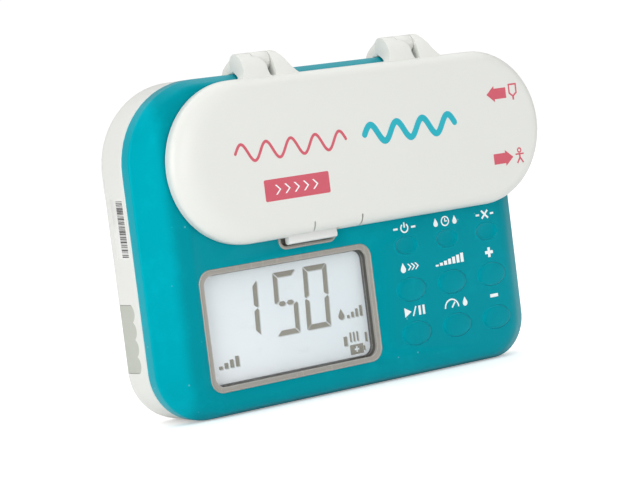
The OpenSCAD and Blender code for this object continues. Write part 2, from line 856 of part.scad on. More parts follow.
module door_form(i, y0, y1) {
    hull() {
        for (a = [0, 25, 50, 70, 90]) {
            slab(y0 + door_round * (1 - sin(a)), y1)
                door_outline(i + door_round * (1 - cos(a)), i + door_taper * (1 - cos(a)), $fn = 64);
        }
    }
}

// One arm of a hinge: a knuckle on a web that slopes forward into the door's
// top edge. Its outline from the front is the child.
module door_arm(x0, x1) {
    bar_x(x0, x1, hinge_y, hinge_z, knuckle_r);
    intersection() {
        side_slab(x0 - 3, x1 + fin_w) polygon([
            [hinge_y, hinge_z + knuckle_r], [hinge_y - 1.6, hinge_z + knuckle_r - 0.3],
            [door_y + 4.6, hinge_z + knuckle_r - 1.7], [door_y + 3.4, hinge_z - 1],
            [door_y + 2, door_z1 - 1.2], [door_y + 2, door_z1 - 4],
            [door_back_y, door_z1 - 4], [door_back_y, door_z1 + 0.3],
            [hinge_y, hinge_z - 1]
        ]);
        children();
    }
}

// The two arms of a hinge. The left one runs in front of the case knuckle.
module door_arms(x0) {
    xf = x0 + fin_inset;
    xk = xf - lug_w - 2 * hinge_side_gap;
    difference() {
        door_arm(x0, xk)
            slab(door_y, hinge_y + 1) polygon([
                [x0 - 1, door_z1 - 4], [x0 + knuckle_w + 1.2, door_z1 - 4],
                [x0 + knuckle_w + 1.2, door_z1 - 0.8], [x0 + knuckle_w, door_z1 + 0.8],
                [x0 + knuckle_w, hinge_z - 1.2], [xk, hinge_z + 1.9],
                [xk, hinge_z + knuckle_r], [x0, hinge_z + knuckle_r],
                [x0, hinge_z - 1], [x0 - 1, door_z1]
            ]);
        bar_x(xk, xf, hinge_y, hinge_z, knuckle_r + 0.3);
    }
    door_arm(xf, xf + fin_top_w)
        slab(door_y, hinge_y + 1) polygon([
            [xf - 0.6, door_z1 - 4], [xf + fin_w, door_z1 - 4], [xf + fin_w, door_z1 - 0.4],
            [xf + fin_w - 2, door_z1 + 1.9], [xf + fin_top_w + 0.8, hinge_z + 0.8],
            [xf + fin_top_w, hinge_z + knuckle_r], [xf, hinge_z + knuckle_r],
            [xf, door_z1 + 0.8], [xf - 0.6, door_z1 - 0.8]
        ]);
}

module door_shell() color(white) {
    difference() {
        union() {
            difference() {
                door_form(0, door_y, door_back_y);
                door_form(door_wall, door_y + door_wall, door_back_y + 1);
            }
            door_arms(hinge_x0);
            door_arms(hinge_x0 + hinge_pitch);
            latch_bearings();
            door_screw_posts();
        }
        for (n = [0, 1]) {
            x0 = hinge_x0 + hinge_pitch * n;
            bar_x(x0 + pin_end - 0.2, x0 + fin_inset + fin_top_w - 0.7, hinge_y, hinge_z, hinge_pin_r + run_gap);
        }
        // Two relief slits beside the latch
        for (x = slit_x) {
            box(x - slit_w / 2, x + slit_w / 2, door_y - 1, door_back_y + 1, door_z0 - 1, door_z0 + 2.8);
        }
        box(latch_x0 - 0.3, latch_x0 + latch_w + 0.3, latch_pivot_y - latch_slot_d, door_back_y + 1,
            door_z0 - 1, latch_pivot_z + 1.7);
        bar_x(latch_x0 - 3, latch_x0 + latch_w + 3, latch_pivot_y, latch_pivot_z, latch_pin_r);
        door_screw_holes();
    }
}

module latch_bearings() {
    for (x = [latch_x0 - 1.9, latch_x0 + latch_w + 0.3]) {
        box(x, x + 1.6, door_y + 1, liner_front_y - part_gap, door_z0 + 1, latch_pivot_z + 1.8);
    }
}

module door_screw_posts() {
    for (p = door_screw_places) {
        bar_y(p[0], door_mid_z + 10 + p[1], door_y + 1, liner_front_y - part_gap, 2.2);
    }
}

module door_screw_holes() {
    for (p = door_screw_places) {
        bar_y(p[0], door_mid_z + 10 + p[1], door_y + 1.8, door_back_y + 1, 0.8);
    }
}

module door_liner() color([0.82, 0.82, 0.8]) {
    difference() {
        slab(liner_front_y, door_back_y)
            door_outline(door_wall + liner_gap, door_wall + liner_gap_l, $fn = 80);
        for (n = [0, 1]) {
            x0 = hinge_x0 + hinge_pitch * n;
            box(x0 - 1 - part_gap, x0 + fin_inset + fin_w + part_gap, door_y, door_back_y + 2,
                door_z1 - 4 - part_gap, door_z1 + 1);
        }
        box(latch_x0 - 0.4, latch_x0 + latch_w + 0.4, door_y, door_back_y + 1, door_z0, latch_pivot_z + 2.4);
        for (p = door_screw_places) {
            bar_y(p[0], door_mid_z + 10 + p[1], door_y, door_back_y + 1, 1);
        }
    }
}

module door_seal() color([0.35, 0.36, 0.37]) {
    difference() {
        slab(door_back_y, door_back_y + door_gap - 0.05) bay_outline(bay_wall + 1.6);
        slab(door_back_y - 1, door_back_y + 1) bay_outline(bay_wall + 0.4);
        box(bay_x1 - 12, half_w, door_y, front_y + 1,
            rotor_z - tube_half - tube_slot_w, rotor_z + tube_half + tube_slot_w);
    }
}

module tube_pads() color([0.6, 0.61, 0.6]) {
    for (side = [-1, 1]) {
        z = rotor_z + side * tube_half;
        slab(door_back_y, front_y + 1.4) even_rounded(pad_x0, pad_x0 + pad_l, z - 2.6, z + 2.6, 1.5);
    }
}

module door_screws() color(steel) {
    for (p = door_screw_places) {
        z = door_mid_z + 10 + p[1];
        bar_y(p[0], z, door_y + 2.2, door_back_y - eps, 0.8);
    }
}

module latch_pin() color(steel) {
    bar_x(latch_x0 - 1.9, latch_x0 + latch_w + 1.9, latch_pivot_y, latch_pivot_z, latch_pin_r);
}

module latch_spring() color(steel) {
    x = latch_x0 + latch_w / 2;
    difference() {
        bar_x(x - 1.6, x + 1.6, latch_pivot_y, latch_pivot_z, 1.2);
        bar_x(x - 2, x + 2, latch_pivot_y, latch_pivot_z, latch_pin_r + 0.1);
    }
}

// Finger lip under the door, its two eyes on the pin, and the hook behind the strike.
module latch_lever() color(white) {
    bar_front_y = latch_pivot_y - latch_bar_t / 2;
    hook_x = latch_x0 + latch_w / 2;
    hook_y = strike_y + strike_t + hook_gap;
    difference() {
        union() {
            side_slab(latch_x0, latch_x0 + latch_w) even_rounded(
                bar_front_y, bar_front_y + latch_bar_t, latch_bar_z0, latch_pivot_z, 0.9);
            bar_x(latch_x0, latch_x0 + latch_w, latch_pivot_y, latch_pivot_z, 1.2);
            box(hook_x - hook_w / 2, hook_x + hook_w / 2, latch_pivot_y, hook_y + hook_t,
                hook_neck_z, hook_neck_z + hook_neck_h);
            box(hook_x - hook_w / 2, hook_x + hook_w / 2, hook_y, hook_y + hook_t,
                hook_neck_z + 0.2, strike_z0 + hook_barb);
        }
        bar_x(latch_x0 - 1, latch_x0 + latch_w + 1, latch_pivot_y, latch_pivot_z, latch_pin_r + run_gap);
        bar_x(hook_x - 1.9, hook_x + 1.9, latch_pivot_y, latch_pivot_z, 1.6);
    }
}

back_shell();
front_frame();
front_cover();
case_gasket();
pump_tray();
lcd_lens();
lcd_panel();
lcd_backlight();
key_domes();
keypad_board();
main_board();
battery_pack();
ribbon_cable();
speaker();
charge_port();
side_grips();
serial_label();
clamp_insert();
case_screws();
hinge_pins();
latch_strike();
gear_plate();
idler_post();
rotor_bush_front();
rotor_bush_rear();
motor_can();
pressure_sensors();
air_sensor();
door_shell();
door_liner();
door_seal();
tube_pads();
door_screws();
latch_pin();
latch_spring();
latch_lever();
rotor_shaft();
rotor_hub();
rotor_gear();
roller_pins();
roller(0);  // roller_1
roller(1);  // roller_2
roller(2);  // roller_3
idler_gear();
motor_pinion();
key_cap(0, 2);  // key_power
key_cap(1, 2);  // key_interval
key_cap(2, 2);  // key_clear
key_cap(0, 1);  // key_prime
key_cap(1, 1);  // key_volume
key_cap(2, 1);  // key_up
key_cap(0, 0);  // key_run
key_cap(1, 0);  // key_rate
key_cap(2, 0);  // key_down
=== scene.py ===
import math

import bmesh
import bpy
from mathutils import Matrix, Vector


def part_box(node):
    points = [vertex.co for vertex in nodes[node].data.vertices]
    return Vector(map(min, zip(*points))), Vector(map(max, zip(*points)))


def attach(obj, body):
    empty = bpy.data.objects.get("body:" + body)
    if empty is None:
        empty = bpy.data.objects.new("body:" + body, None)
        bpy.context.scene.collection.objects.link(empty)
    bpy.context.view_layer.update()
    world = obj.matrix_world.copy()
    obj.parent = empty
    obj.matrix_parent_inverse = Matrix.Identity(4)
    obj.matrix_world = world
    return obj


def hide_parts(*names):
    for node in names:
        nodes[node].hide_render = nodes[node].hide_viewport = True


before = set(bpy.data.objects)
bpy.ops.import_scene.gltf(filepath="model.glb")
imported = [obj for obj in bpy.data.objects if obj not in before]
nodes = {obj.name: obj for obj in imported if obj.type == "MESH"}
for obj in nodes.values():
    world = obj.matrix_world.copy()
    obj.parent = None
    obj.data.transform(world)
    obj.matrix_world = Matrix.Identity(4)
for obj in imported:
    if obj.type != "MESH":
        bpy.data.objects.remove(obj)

scene = bpy.context.scene
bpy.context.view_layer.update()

# ---------------------------------------------------------------------------
# Studio: a pale table top, a white room, three soft boxes and the camera,
# which stands low on the left with a slight roll.
# ---------------------------------------------------------------------------
MM = 0.001


def shade(red, green, blue):
    """A display colour, 0 to 255, as the linear colour that a shader takes."""
    linear = [c / 255 / 12.92 if c < 10.3 else ((c / 255 + 0.055) / 1.055) ** 2.4 for c in (red, green, blue)]
    return (*linear, 1.0)


class Wire:
    """A socket in a node tree that can be added, subtracted and multiplied."""

    def __init__(self, tree, socket=None):
        self.tree = tree
        self.socket = socket

    def plug(self, socket, value):
        if isinstance(value, Wire):
            self.tree.links.new(value.socket, socket)
        else:
            socket.default_value = value

    def node(self, kind, settings=None, sockets=None, out=0):
        made = self.tree.nodes.new(kind)
        for key, value in (settings or {}).items():
            if key == "stops":
                while len(made.color_ramp.elements) < len(value):
                    made.color_ramp.elements.new(0.5)
                for element, (at, colour) in zip(made.color_ramp.elements, value):
                    element.position, element.color = at, colour
            else:
                setattr(made, key, value)
        for key, value in (sockets or {}).items():
            self.plug(made.inputs[key], value)
        return Wire(self.tree, made.outputs[out])

    def math(self, operation, a, b=0.0, clamp=False):
        return self.node("ShaderNodeMath", {"operation": operation, "use_clamp": clamp}, {0: a, 1: b})

    def __add__(self, other):
        return self.math("ADD", self, other)

    def __sub__(self, other):
        return self.math("SUBTRACT", self, other)

    def __rsub__(self, other):
        return self.math("SUBTRACT", other, self)

    def __mul__(self, other):
        return self.math("MULTIPLY", self, other)

    __radd__ = __add__
    __rmul__ = __mul__

    def held(self):
        """The same value, kept between 0 and 1."""
        return self.math("MULTIPLY", self, 1.0, clamp=True)

    def above(self, edge, soft):
        """0 below an edge and 1 above it, with a soft step between."""
        settings = {"interpolation_type": "SMOOTHSTEP"}
        return self.node("ShaderNodeMapRange", settings, {0: self, 1: edge - soft, 2: edge + soft})

    def blend(self, low, high):
        """Goes from one colour to another as this value goes from 0 to 1."""
        return self.node("ShaderNodeMix", {"data_type": "RGBA"}, {0: self, 6: low, 7: high}, out=2)


def blank(name):
    """A new material: its shader, and the place of each point on the object."""
    material = bpy.data.materials.new(name)
    material.use_nodes = True
    tree = material.node_tree
    place = Wire(tree).node("ShaderNodeTexCoord", out="Object")
    return material, tree.nodes["Principled BSDF"], place


def finish(place, shader, base, rough, bump, **fixed):
    """Plugs a colour, a roughness and a bumped normal into a shader, and sets its fixed values."""
    for socket, value in (("Base Color", base), ("Roughness", rough), ("Normal", bump)):
        if value is not None:
            place.plug(shader.inputs[socket], value)
    for socket, value in fixed.items():
        shader.inputs[socket.replace("_", " ")].default_value = value


def gained(tint, gain, lift=0.0):
    """A colour made stronger or weaker, and lifted."""
    return tuple(min(1.0, c * gain + lift) for c in tint[:3]) + (1.0,)


def noise(place, scale, detail=2.0, rough=0.5, stretch=None):
    """Cloudy noise with so many features in a metre."""
    if stretch:
        place = place.node("ShaderNodeMapping", {}, {"Vector": place, "Scale": stretch})
    sockets = {"Vector": place, "Scale": scale, "Detail": detail, "Roughness": rough}
    return place.node("ShaderNodeTexNoise", {}, sockets)


def relief(place, height, strength, distance):
    """A normal bumped by a height."""
    sockets = {"Height": height, "Strength": strength, "Distance": distance}
    return place.node("ShaderNodeBump", {}, sockets)


table_top, table_shader, table_place = blank("table_top")
table_cloud = noise(table_place, 3.0)
finish(
    table_place, table_shader, table_cloud.blend(shade(250, 250, 250), shade(254, 254, 254)),
    table_cloud * 0.1 + 0.75, None, Emission_Color=(1.0, 1.0, 1.0, 1.0))
seen_here = table_place.node("ShaderNodeLightPath", out="Is Camera Ray")
table_place.plug(table_shader.inputs["Emission Strength"], seen_here * 0.34)
table_mesh = bpy.data.meshes.new("table")
table_half, table_z = 1.6, -0.0002
table_corners = [(x * table_half, y * table_half, table_z) for x, y in ((-1, -1), (1, -1), (1, 1), (-1, 1))]
table_mesh.from_pydata(table_corners, [], [(0, 1, 2, 3)])
table_mesh.materials.append(table_top)
table = bpy.data.objects.new("table", table_mesh)
scene.collection.objects.link(table)

room = bpy.data.worlds.new("room")
room.use_nodes = True
scene.world = room
room_wire = Wire(room.node_tree)
seen_directly = room_wire.node("ShaderNodeLightPath", out="Is Camera Ray")
room_wire.plug(room.node_tree.nodes["Background"].inputs["Color"], (1.0, 1.0, 1.0, 1.0))
room_wire.plug(room.node_tree.nodes["Background"].inputs["Strength"], seen_directly * 0.6 + 0.44)


def soft_box(name, at, aim, width, height, watts):
    lamp = bpy.data.lights.new(name, "AREA")
    lamp.shape, lamp.size, lamp.size_y, lamp.energy = "RECTANGLE", width, height, watts
    holder = bpy.data.objects.new(name, lamp)
    holder.location = at
    holder.rotation_euler = (Vector(aim) - Vector(at)).to_track_quat("-Z", "Y").to_euler()
    scene.collection.objects.link(holder)


soft_box("box_overhead", (0.0, 0.4, 2.2), (0, 0.4, 0), 5.0, 5.0, 66)
soft_box("box_left", (-1.35, -0.66, 0.3), (0, 0, 0.05), 0.8, 0.8, 8.5)
soft_box("box_front", (-0.2, -1.8, 0.15), (0, 0, 0.05), 0.6, 0.9, 6.5)

scene.view_settings.view_transform = "Standard"
lens = bpy.data.cameras.new("camera")
lens.lens, lens.sensor_width, lens.clip_start = 126.46, 36.0, 0.02
camera = bpy.data.objects.new("camera", lens)
yaw, pitch, roll = math.radians(-33.72), math.radians(90 - 3.924), math.radians(-7.14)
turn = Matrix.Rotation(yaw, 4, "Z") @ Matrix.Rotation(pitch, 4, "X") @ Matrix.Rotation(roll, 4, "Z")
camera.matrix_world = Matrix.Translation(Vector((-364.45, -545.49, 89.15)) * MM) @ turn
scene.collection.objects.link(camera)
scene.camera = camera

# ---------------------------------------------------------------------------
# Rear case: the white ABS half that carries everything. Moulded, with rounded
# back edges, a mounting boss with a T channel, screw wells and hinge lugs.
# ---------------------------------------------------------------------------
def edge_wear(place, radius, gain):
    """How near each point is to a rounded edge, from 0 to 1."""
    rounded = place.node("ShaderNodeBevel", {"samples": 4}, {"Radius": radius})
    straight = place.node("ShaderNodeNewGeometry", out="Normal")
    facing = place.node("ShaderNodeVectorMath", {"operation": "DOT_PRODUCT"}, {0: rounded, 1: straight}, out="Value")
    return ((1.0 - facing) * gain).held()


def moulded(name, tint, rough, drift=0.03, grain=0.05, coat=0.0, rub=0.08):
    """Moulded plastic: slow colour drift, fine tool grain, hairline scuffs and rubbed edges."""
    material, shader, place = blank(name)
    slow = noise(place, 45.0, 3.0)
    tooth = noise(place, 1900.0, 1.0)
    scuff = noise(place, 60.0, 4.0, 0.7, stretch=(9.0, 1.0, 1.4)).above(0.63, 0.05)
    edge = edge_wear(place, 0.0005, 5.0)
    body = slow.blend(gained(tint, 1 - drift), gained(tint, 1 + drift))
    worn = gained(tint, 1 - rub, rub * 1.02)
    finish(
        place, shader, (edge * 0.8).blend(body, worn),
        (slow * 0.1 + scuff * 0.12 + edge * 0.05 + (rough - 0.05)).held(),
        relief(place, tooth + scuff * 0.3, grain, 0.0002), Coat_Weight=coat, Coat_Roughness=0.25)
    return material


def dress(material, *names):
    """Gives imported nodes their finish."""
    for name in names:
        slots = nodes[name].material_slots
        if slots:
            for one in slots:
                one.material = material
        else:
            nodes[name].data.materials.append(material)


def reach(name):
    """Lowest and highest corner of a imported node, in millimetres."""
    low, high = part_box(name)
    return low / MM, high / MM


def corners(left, right, low, high, radii, steps=16):
    """A rectangle with a radius at each corner, as (x, z) points from the bottom left corner, then by the right."""
    r0, r1, r2, r3 = radii
    centres = ((left + r0, low + r0), (right - r1, low + r1), (right - r2, high - r2), (left + r3, high - r3))
    points = []
    for k, (x, z) in enumerate(centres):
        for n in range(steps + 1):
            angle = math.radians(180 + 90 * k + 90 * n / steps)
            points.append((x + radii[k] * math.cos(angle), z + radii[k] * math.sin(angle)))
    return points


def ring(points, y):
    """A front view outline, stood at a depth."""
    return [Vector((x, y, z)) for x, z in points]


def bend(first, middle, last, steps=5):
    """Rings that turn smoothly from one ring to another round the one between them."""
    turned = []
    for n in range(steps + 1):
        t = n / steps
        turned.append([a * (1 - t) ** 2 + b * 2 * t * (1 - t) + c * t * t for a, b, c in zip(first, middle, last)])
    return turned


def walls(bm, rows):
    """Joins each outline to the next with a belt of faces."""
    for a, b in zip(rows, rows[1:]):
        for k in range(len(a)):
            j = (k + 1) % len(a)
            bm.faces.new((a[k], a[j], b[j], b[k]))


def as_mesh(bm, name):
    """What was built, as a mesh with its faces turned outward."""
    bmesh.ops.recalc_face_normals(bm, faces=bm.faces)
    mesh = bpy.data.meshes.new(name)
    bm.to_mesh(mesh)
    bm.free()
    return mesh


def skin(rings):
    """A closed mesh through a stack of rings, with a face over each end."""
    bm = bmesh.new()
    rows = [[bm.verts.new(p) for p in one] for one in rings]
    walls(bm, rows)
    bm.faces.new(rows[0][::-1])
    bm.faces.new(rows[-1])
    bmesh.ops.remove_doubles(bm, verts=bm.verts, dist=0.001)
    return as_mesh(bm, "skin")


def prism(points, y0, y1):
    """A front view outline, extruded between two depths."""
    return skin([ring(points, y0), ring(points, y1)])


def across(points, x0, x1):
    """A side view outline, as (y, z) points, extruded from left to right."""
    return skin([[Vector((x, y, z)) for y, z in points] for x in (x0, x1)])


def block(x0, x1, y0, y1, z0, z1):
    return prism([(x0, z0), (x1, z0), (x1, z1), (x0, z1)], y0, y1)


def disc(x, z, radius, steps=32, rise=1.0):
    """An oval seen from the front, as (x, z) points."""
    turns = [2 * math.pi * n / steps for n in range(steps)]
    return [(x + radius * math.cos(t), z + radius * rise * math.sin(t)) for t in turns]


def rod(x0, x1, y, z, radius, steps=40):
    """A round bar that runs from left to right."""
    return across([(y + a, z + b) for a, b in disc(0, 0, radius, steps)], x0, x1)


def baked(mesh, *settings):
    """The mesh with modifiers of these kinds and settings applied."""
    holder = bpy.data.objects.new("holder", mesh)
    scene.collection.objects.link(holder)
    for kind, values in settings:
        modifier = holder.modifiers.new(kind, kind)
        for key, value in values.items():
            setattr(modifier, key, value)
    bpy.context.view_layer.update()
    result = bpy.data.meshes.new_from_object(holder.evaluated_get(bpy.context.evaluated_depsgraph_get()))
    bpy.data.objects.remove(holder)
    return result


def carve(mesh, tools, operation="DIFFERENCE"):
    """Cuts each tool out of the mesh, or joins it on."""
    for tool in tools:
        cutter = bpy.data.objects.new("cutter", tool)
        scene.collection.objects.link(cutter)
        mesh = baked(mesh, ("BOOLEAN", {"object": cutter, "operation": operation, "solver": "EXACT"}))
        bpy.data.objects.remove(cutter)
    return mesh


def softened(mesh, width, segments=2, angle=35):
    """The mesh with its sharp edges rounded off."""
    settings = {"width": width, "segments": segments, "limit_method": "ANGLE", "angle_limit": math.radians(angle)}
    return baked(mesh, ("BEVEL", settings))


def fit(name, mesh, material, body, slot, *replaced, smooth=32):
    """Finishes a piece: millimetres to metres, smooth faces, its finish, its body and what it stands for."""
    bm = bmesh.new()
    bm.from_mesh(mesh)
    bmesh.ops.remove_doubles(bm, verts=bm.verts, dist=0.002)
    bmesh.ops.dissolve_degenerate(bm, edges=bm.edges, dist=0.001)
    bm.to_mesh(mesh)
    bm.free()
    mesh.transform(Matrix.Scale(MM, 4))
    mesh.materials.clear()
    mesh.materials.append(material)
    mesh.shade_smooth()
    mesh.set_sharp_from_angle(angle=math.radians(smooth))
    mesh.name = name
    piece = bpy.data.objects.new(name, mesh)
    scene.collection.objects.link(piece)
    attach(piece, body)
    if replaced:
        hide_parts(*replaced)
    return piece


cover_lo, cover_hi = reach("front_cover")
half_w, case_h = cover_hi.x, cover_hi.z
part_y, front_y, boss_y = cover_hi.y, cover_lo.y, reach("back_shell")[1].y
back_y = reach("case_screws")[1].y + 0.4
case_radii = (15.5, 12.5, 30.0, 24.0)
case_wall, back_round, lip_chamfer = 2.0, 4.0, 0.3


def case_ring(inset, y):
    radii = [r - inset for r in case_radii]
    return ring(corners(-half_w + inset, half_w - inset, inset, case_h - inset, radii), y)


def back_rings(inset, radius, y_end, steps=7):
    """The rounded back edge, from the side wall to the flat back."""
    turned = []
    for n in range(steps + 1):
        a = math.radians(90 * n / steps)
        turned.append(case_ring(inset + radius * (1 - math.cos(a)), y_end - radius * (1 - math.sin(a))))
    return turned


shell_white = moulded("shell_white", shade(224, 225, 220), 0.36, 0.012, 0.05, coat=0.12)
inner_rings = [case_ring(case_wall, part_y)] + back_rings(case_wall, back_round - 1, back_y - case_wall)
outer_rings = [case_ring(lip_chamfer, part_y), case_ring(0, part_y + lip_chamfer)]
outer_rings += back_rings(0, back_round, back_y)
rear_case = skin(inner_rings[::-1] + outer_rings)

boss_half, boss_z0, boss_z1, boss_r = 32.0, case_h / 2 - 31, case_h / 2 + 31, 8.0


def boss_ring(inset, y):
    half, low, high = boss_half - inset, boss_z0 + inset, boss_z1 - inset
    return ring(corners(-half, half, low, high, [boss_r - inset] * 4), y)


boss = skin(
    [boss_ring(0, back_y - 1)] + bend(boss_ring(0, boss_y - 1.6), boss_ring(0, boss_y), boss_ring(1.6, boss_y))
)


hinge_lo, hinge_hi = reach("hinge_pins")
pin_y, pin_z = (hinge_lo.y + hinge_hi.y) / 2, (hinge_lo.z + hinge_hi.z) / 2
knuckle_r, knuckle_w, lug_w, hinge_pitch, hinge_gap = 2.75, 8.0, 5.5, 51.3, 0.25
fin_inset, fin_w, fin_top = knuckle_w + 2.5, 8.0, 2.6
hinge_starts = [hinge_lo.x - 1.2, hinge_lo.x - 1.2 + hinge_pitch]


def case_lug(x0):
    """A foot on the top of the case, and a knuckle forward between the door's two arms."""
    x2, foot_y, top = x0 + fin_inset - hinge_gap, pin_y + knuckle_r + 0.85, pin_z + knuckle_r
    x1 = x2 - lug_w
    knuckle = rod(x1, x2, pin_y, pin_z, knuckle_r)
    web = [(pin_y, pin_z + 0.4), (foot_y + 1.5, pin_z + 0.4), (foot_y + 1.5, case_h + 0.15), (pin_y, case_h + 0.15)]
    side_view = [
        (foot_y, top - 0.5), (part_y + 0.3, top - 1), (part_y + 2, pin_z + 0.2), (part_y + 4.5, case_h - 0.5),
        (part_y + 0.5, case_h - 2), (part_y + 0.5, case_h + 0.15), (foot_y, case_h + 0.15),
    ]
    right = x0 + fin_inset
    front_view = [
        (x0 + 1.2, case_h - 3), (right + 4.6, case_h - 3), (right + 4.6, case_h + 0.6), (right + 1.4, top),
        (x0 + 3.2, top), (x0 + 1.2, case_h + 1.6),
    ]
    foot = carve(across(side_view, x0 - 3, right + fin_w), [prism(front_view, foot_y - 1, part_y + 9)], "INTERSECT")
    knuckle = carve(knuckle, [across(web, x1, x2)], "UNION")
    return carve(softened(foot, 0.6, 3, 30), [softened(knuckle, 0.3, 2, 30)], "UNION")


rear_case = carve(rear_case, [boss] + [case_lug(x0) for x0 in hinge_starts], "UNION")
strike_lo, strike_hi = reach("latch_strike")
door_z0 = strike_lo.z - 1.1
key_columns = [sum(v.x for v in reach(n)) / 2 for n in ("key_run", "key_rate", "key_down")]
screw_places = [
    (-half_w + 9, door_z0 - 4.5), (half_w - 7, door_z0 + 5.3),
    (-half_w + case_radii[0], 7.0), ((key_columns[1] + key_columns[2]) / 2, 7.0),
]


def grip_outline(shrink):
    """The pad on the side wall, with four scallops along its front edge, as (y, z) points."""
    low, tall, back, scallops = 15.4, 19.6, back_y - 1.2, 4
    rise, reach_deg = tall / scallops / 2, 62
    radius = rise + 0.3 - shrink
    middle_y = back_y - back_round - 4.4
    points = [(back - shrink, low + shrink), (back - shrink, low + tall - shrink)]
    for n in reversed(range(scallops)):
        middle_z = low + tall * (n + 0.5) / scallops
        for angle in range(reach_deg, -reach_deg - 1, -12):
            a = math.radians(angle)
            z = middle_z + rise * math.sin(a) / math.sin(math.radians(reach_deg))
            points.append((middle_y - radius * math.cos(a), z))
    points.append((middle_y + 0.4, low + shrink))
    return [(y, min(max(z, low + shrink), low + tall - shrink)) for y, z in points]


port_lo, port_hi = reach("charge_port")
channel = [
    block(-11, 11, boss_y - 6, boss_y + 1, boss_z0 - 1, boss_z1 - 8),
    block(-14, 14, boss_y - 6, boss_y - 1.8, boss_z0 - 1, boss_z1 - 8),
]
wells = [prism(disc(x, z, 2.9), back_y - 1.6, back_y + 1) for x, z in screw_places]
holes = [prism(disc(x, z, 1.7), part_y, back_y) for x, z in screw_places]
grips = [across(grip_outline(0), s * (half_w - 0.8), s * (half_w + 1)) for s in (-1, 1)]
port = block(half_w - 3, half_w + 1, port_lo.y - 0.1, port_hi.y + 0.1, port_lo.z - 0.1, port_hi.z + 0.1)
insert = prism(disc(0, case_h / 2, 2.6), back_y - 3, boss_y)
rear_case = carve(rear_case, channel + wells + holes + grips + [port, insert])


def group(name, inputs):
    """An empty Geometry Nodes tree with named inputs: the tree, its inputs by name, and its output socket."""
    tree = bpy.data.node_groups.new(name, "GeometryNodeTree")
    tree.interface.new_socket("Geometry", in_out="INPUT", socket_type="NodeSocketGeometry")
    for label, kind, value in inputs:
        made = tree.interface.new_socket(label, in_out="INPUT", socket_type="NodeSocket" + kind)
        if value is not None:
            made.default_value = value
    tree.interface.new_socket("Material", in_out="INPUT", socket_type="NodeSocketMaterial")
    tree.interface.new_socket("Geometry", in_out="OUTPUT", socket_type="NodeSocketGeometry")
    source, sink = tree.nodes.new("NodeGroupInput"), tree.nodes.new("NodeGroupOutput")
    wires = {socket.name: Wire(tree, socket) for socket in source.outputs if socket.name}
    return tree, wires, sink.inputs[0]


def close(wires, made, sink):
    """Ends a tree: real geometry, with its finish on it."""
    real = made.node("GeometryNodeRealizeInstances", {}, {0: made})
    coated = made.node("GeometryNodeSetMaterial", {}, {"Geometry": real, "Material": wires["Material"]})
    made.tree.links.new(coated.socket, sink)


def spaced(wires, axis):
    """A row of points from each seed point: so many, a pitch apart, along an axis."""
    offset = wires["Pitch"].node("ShaderNodeCombineXYZ", {}, {axis: wires["Pitch"]})
    line = offset.node("GeometryNodeMeshLine", {}, {"Count": wires["Count"], "Offset": offset})
    row = line.node("GeometryNodeInstanceOnPoints", {}, {"Points": wires["Geometry"], "Instance": line})
    return row.node("GeometryNodeRealizeInstances", {}, {0: row})


def grown(tree, places, material, **values):
    """Runs a tree on a mesh of loose points and returns the plain mesh."""
    seed = bpy.data.meshes.new("places")
    seed.from_pydata([tuple(p) for p in places], [], [])
    holder = bpy.data.objects.new("holder", seed)
    scene.collection.objects.link(holder)
    modifier = holder.modifiers.new("grow", "NODES")
    modifier.node_group = tree
    sockets = {s.name: s.identifier for s in tree.interface.items_tree if s.in_out == "INPUT"}
    modifier[sockets["Material"]] = material
    for label, value in values.items():
        modifier[sockets[label.replace("_", " ")]] = value
    bpy.context.view_layer.update()
    result = bpy.data.meshes.new_from_object(holder.evaluated_get(bpy.context.evaluated_depsgraph_get()))
    holder.modifiers.remove(modifier)
    bpy.data.objects.remove(holder)
    return result


# Speaker holes: two rings of round holes and one in the middle, drilled through the back.
speaker_lo, speaker_hi = reach("speaker")
speaker_x, speaker_z = (speaker_lo.x + speaker_hi.x) / 2, (speaker_lo.z + speaker_hi.z) / 2
drill_tree, drill, drill_end = group("speaker_drill", [("Hole", "Float", 0.6), ("Depth", "Float", 6.0)])
bit = drill["Hole"].node("GeometryNodeMeshCylinder", {}, {
    "Vertices": 16, "Radius": drill["Hole"], "Depth": drill["Depth"]})
drilled = bit.node(
    "GeometryNodeInstanceOnPoints", {},
    {"Points": drill["Geometry"], "Instance": bit, "Rotation": (math.pi / 2, 0.0, 0.0)},
)
close(drill, drilled, drill_end)
hole_places = [(speaker_x, back_y, speaker_z)]
for count, radius in ((6, 2.4), (12, 4.8)):
    for n in range(count):
        a = 2 * math.pi * n / count
        hole_places.append((speaker_x + radius * math.cos(a), back_y, speaker_z + radius * math.sin(a)))
rear_case = carve(rear_case, [grown(drill_tree, hole_places, shell_white, Hole=0.6, Depth=6.0)])
fit("rear_case", rear_case, shell_white, "case", "white_shell", "back_shell")

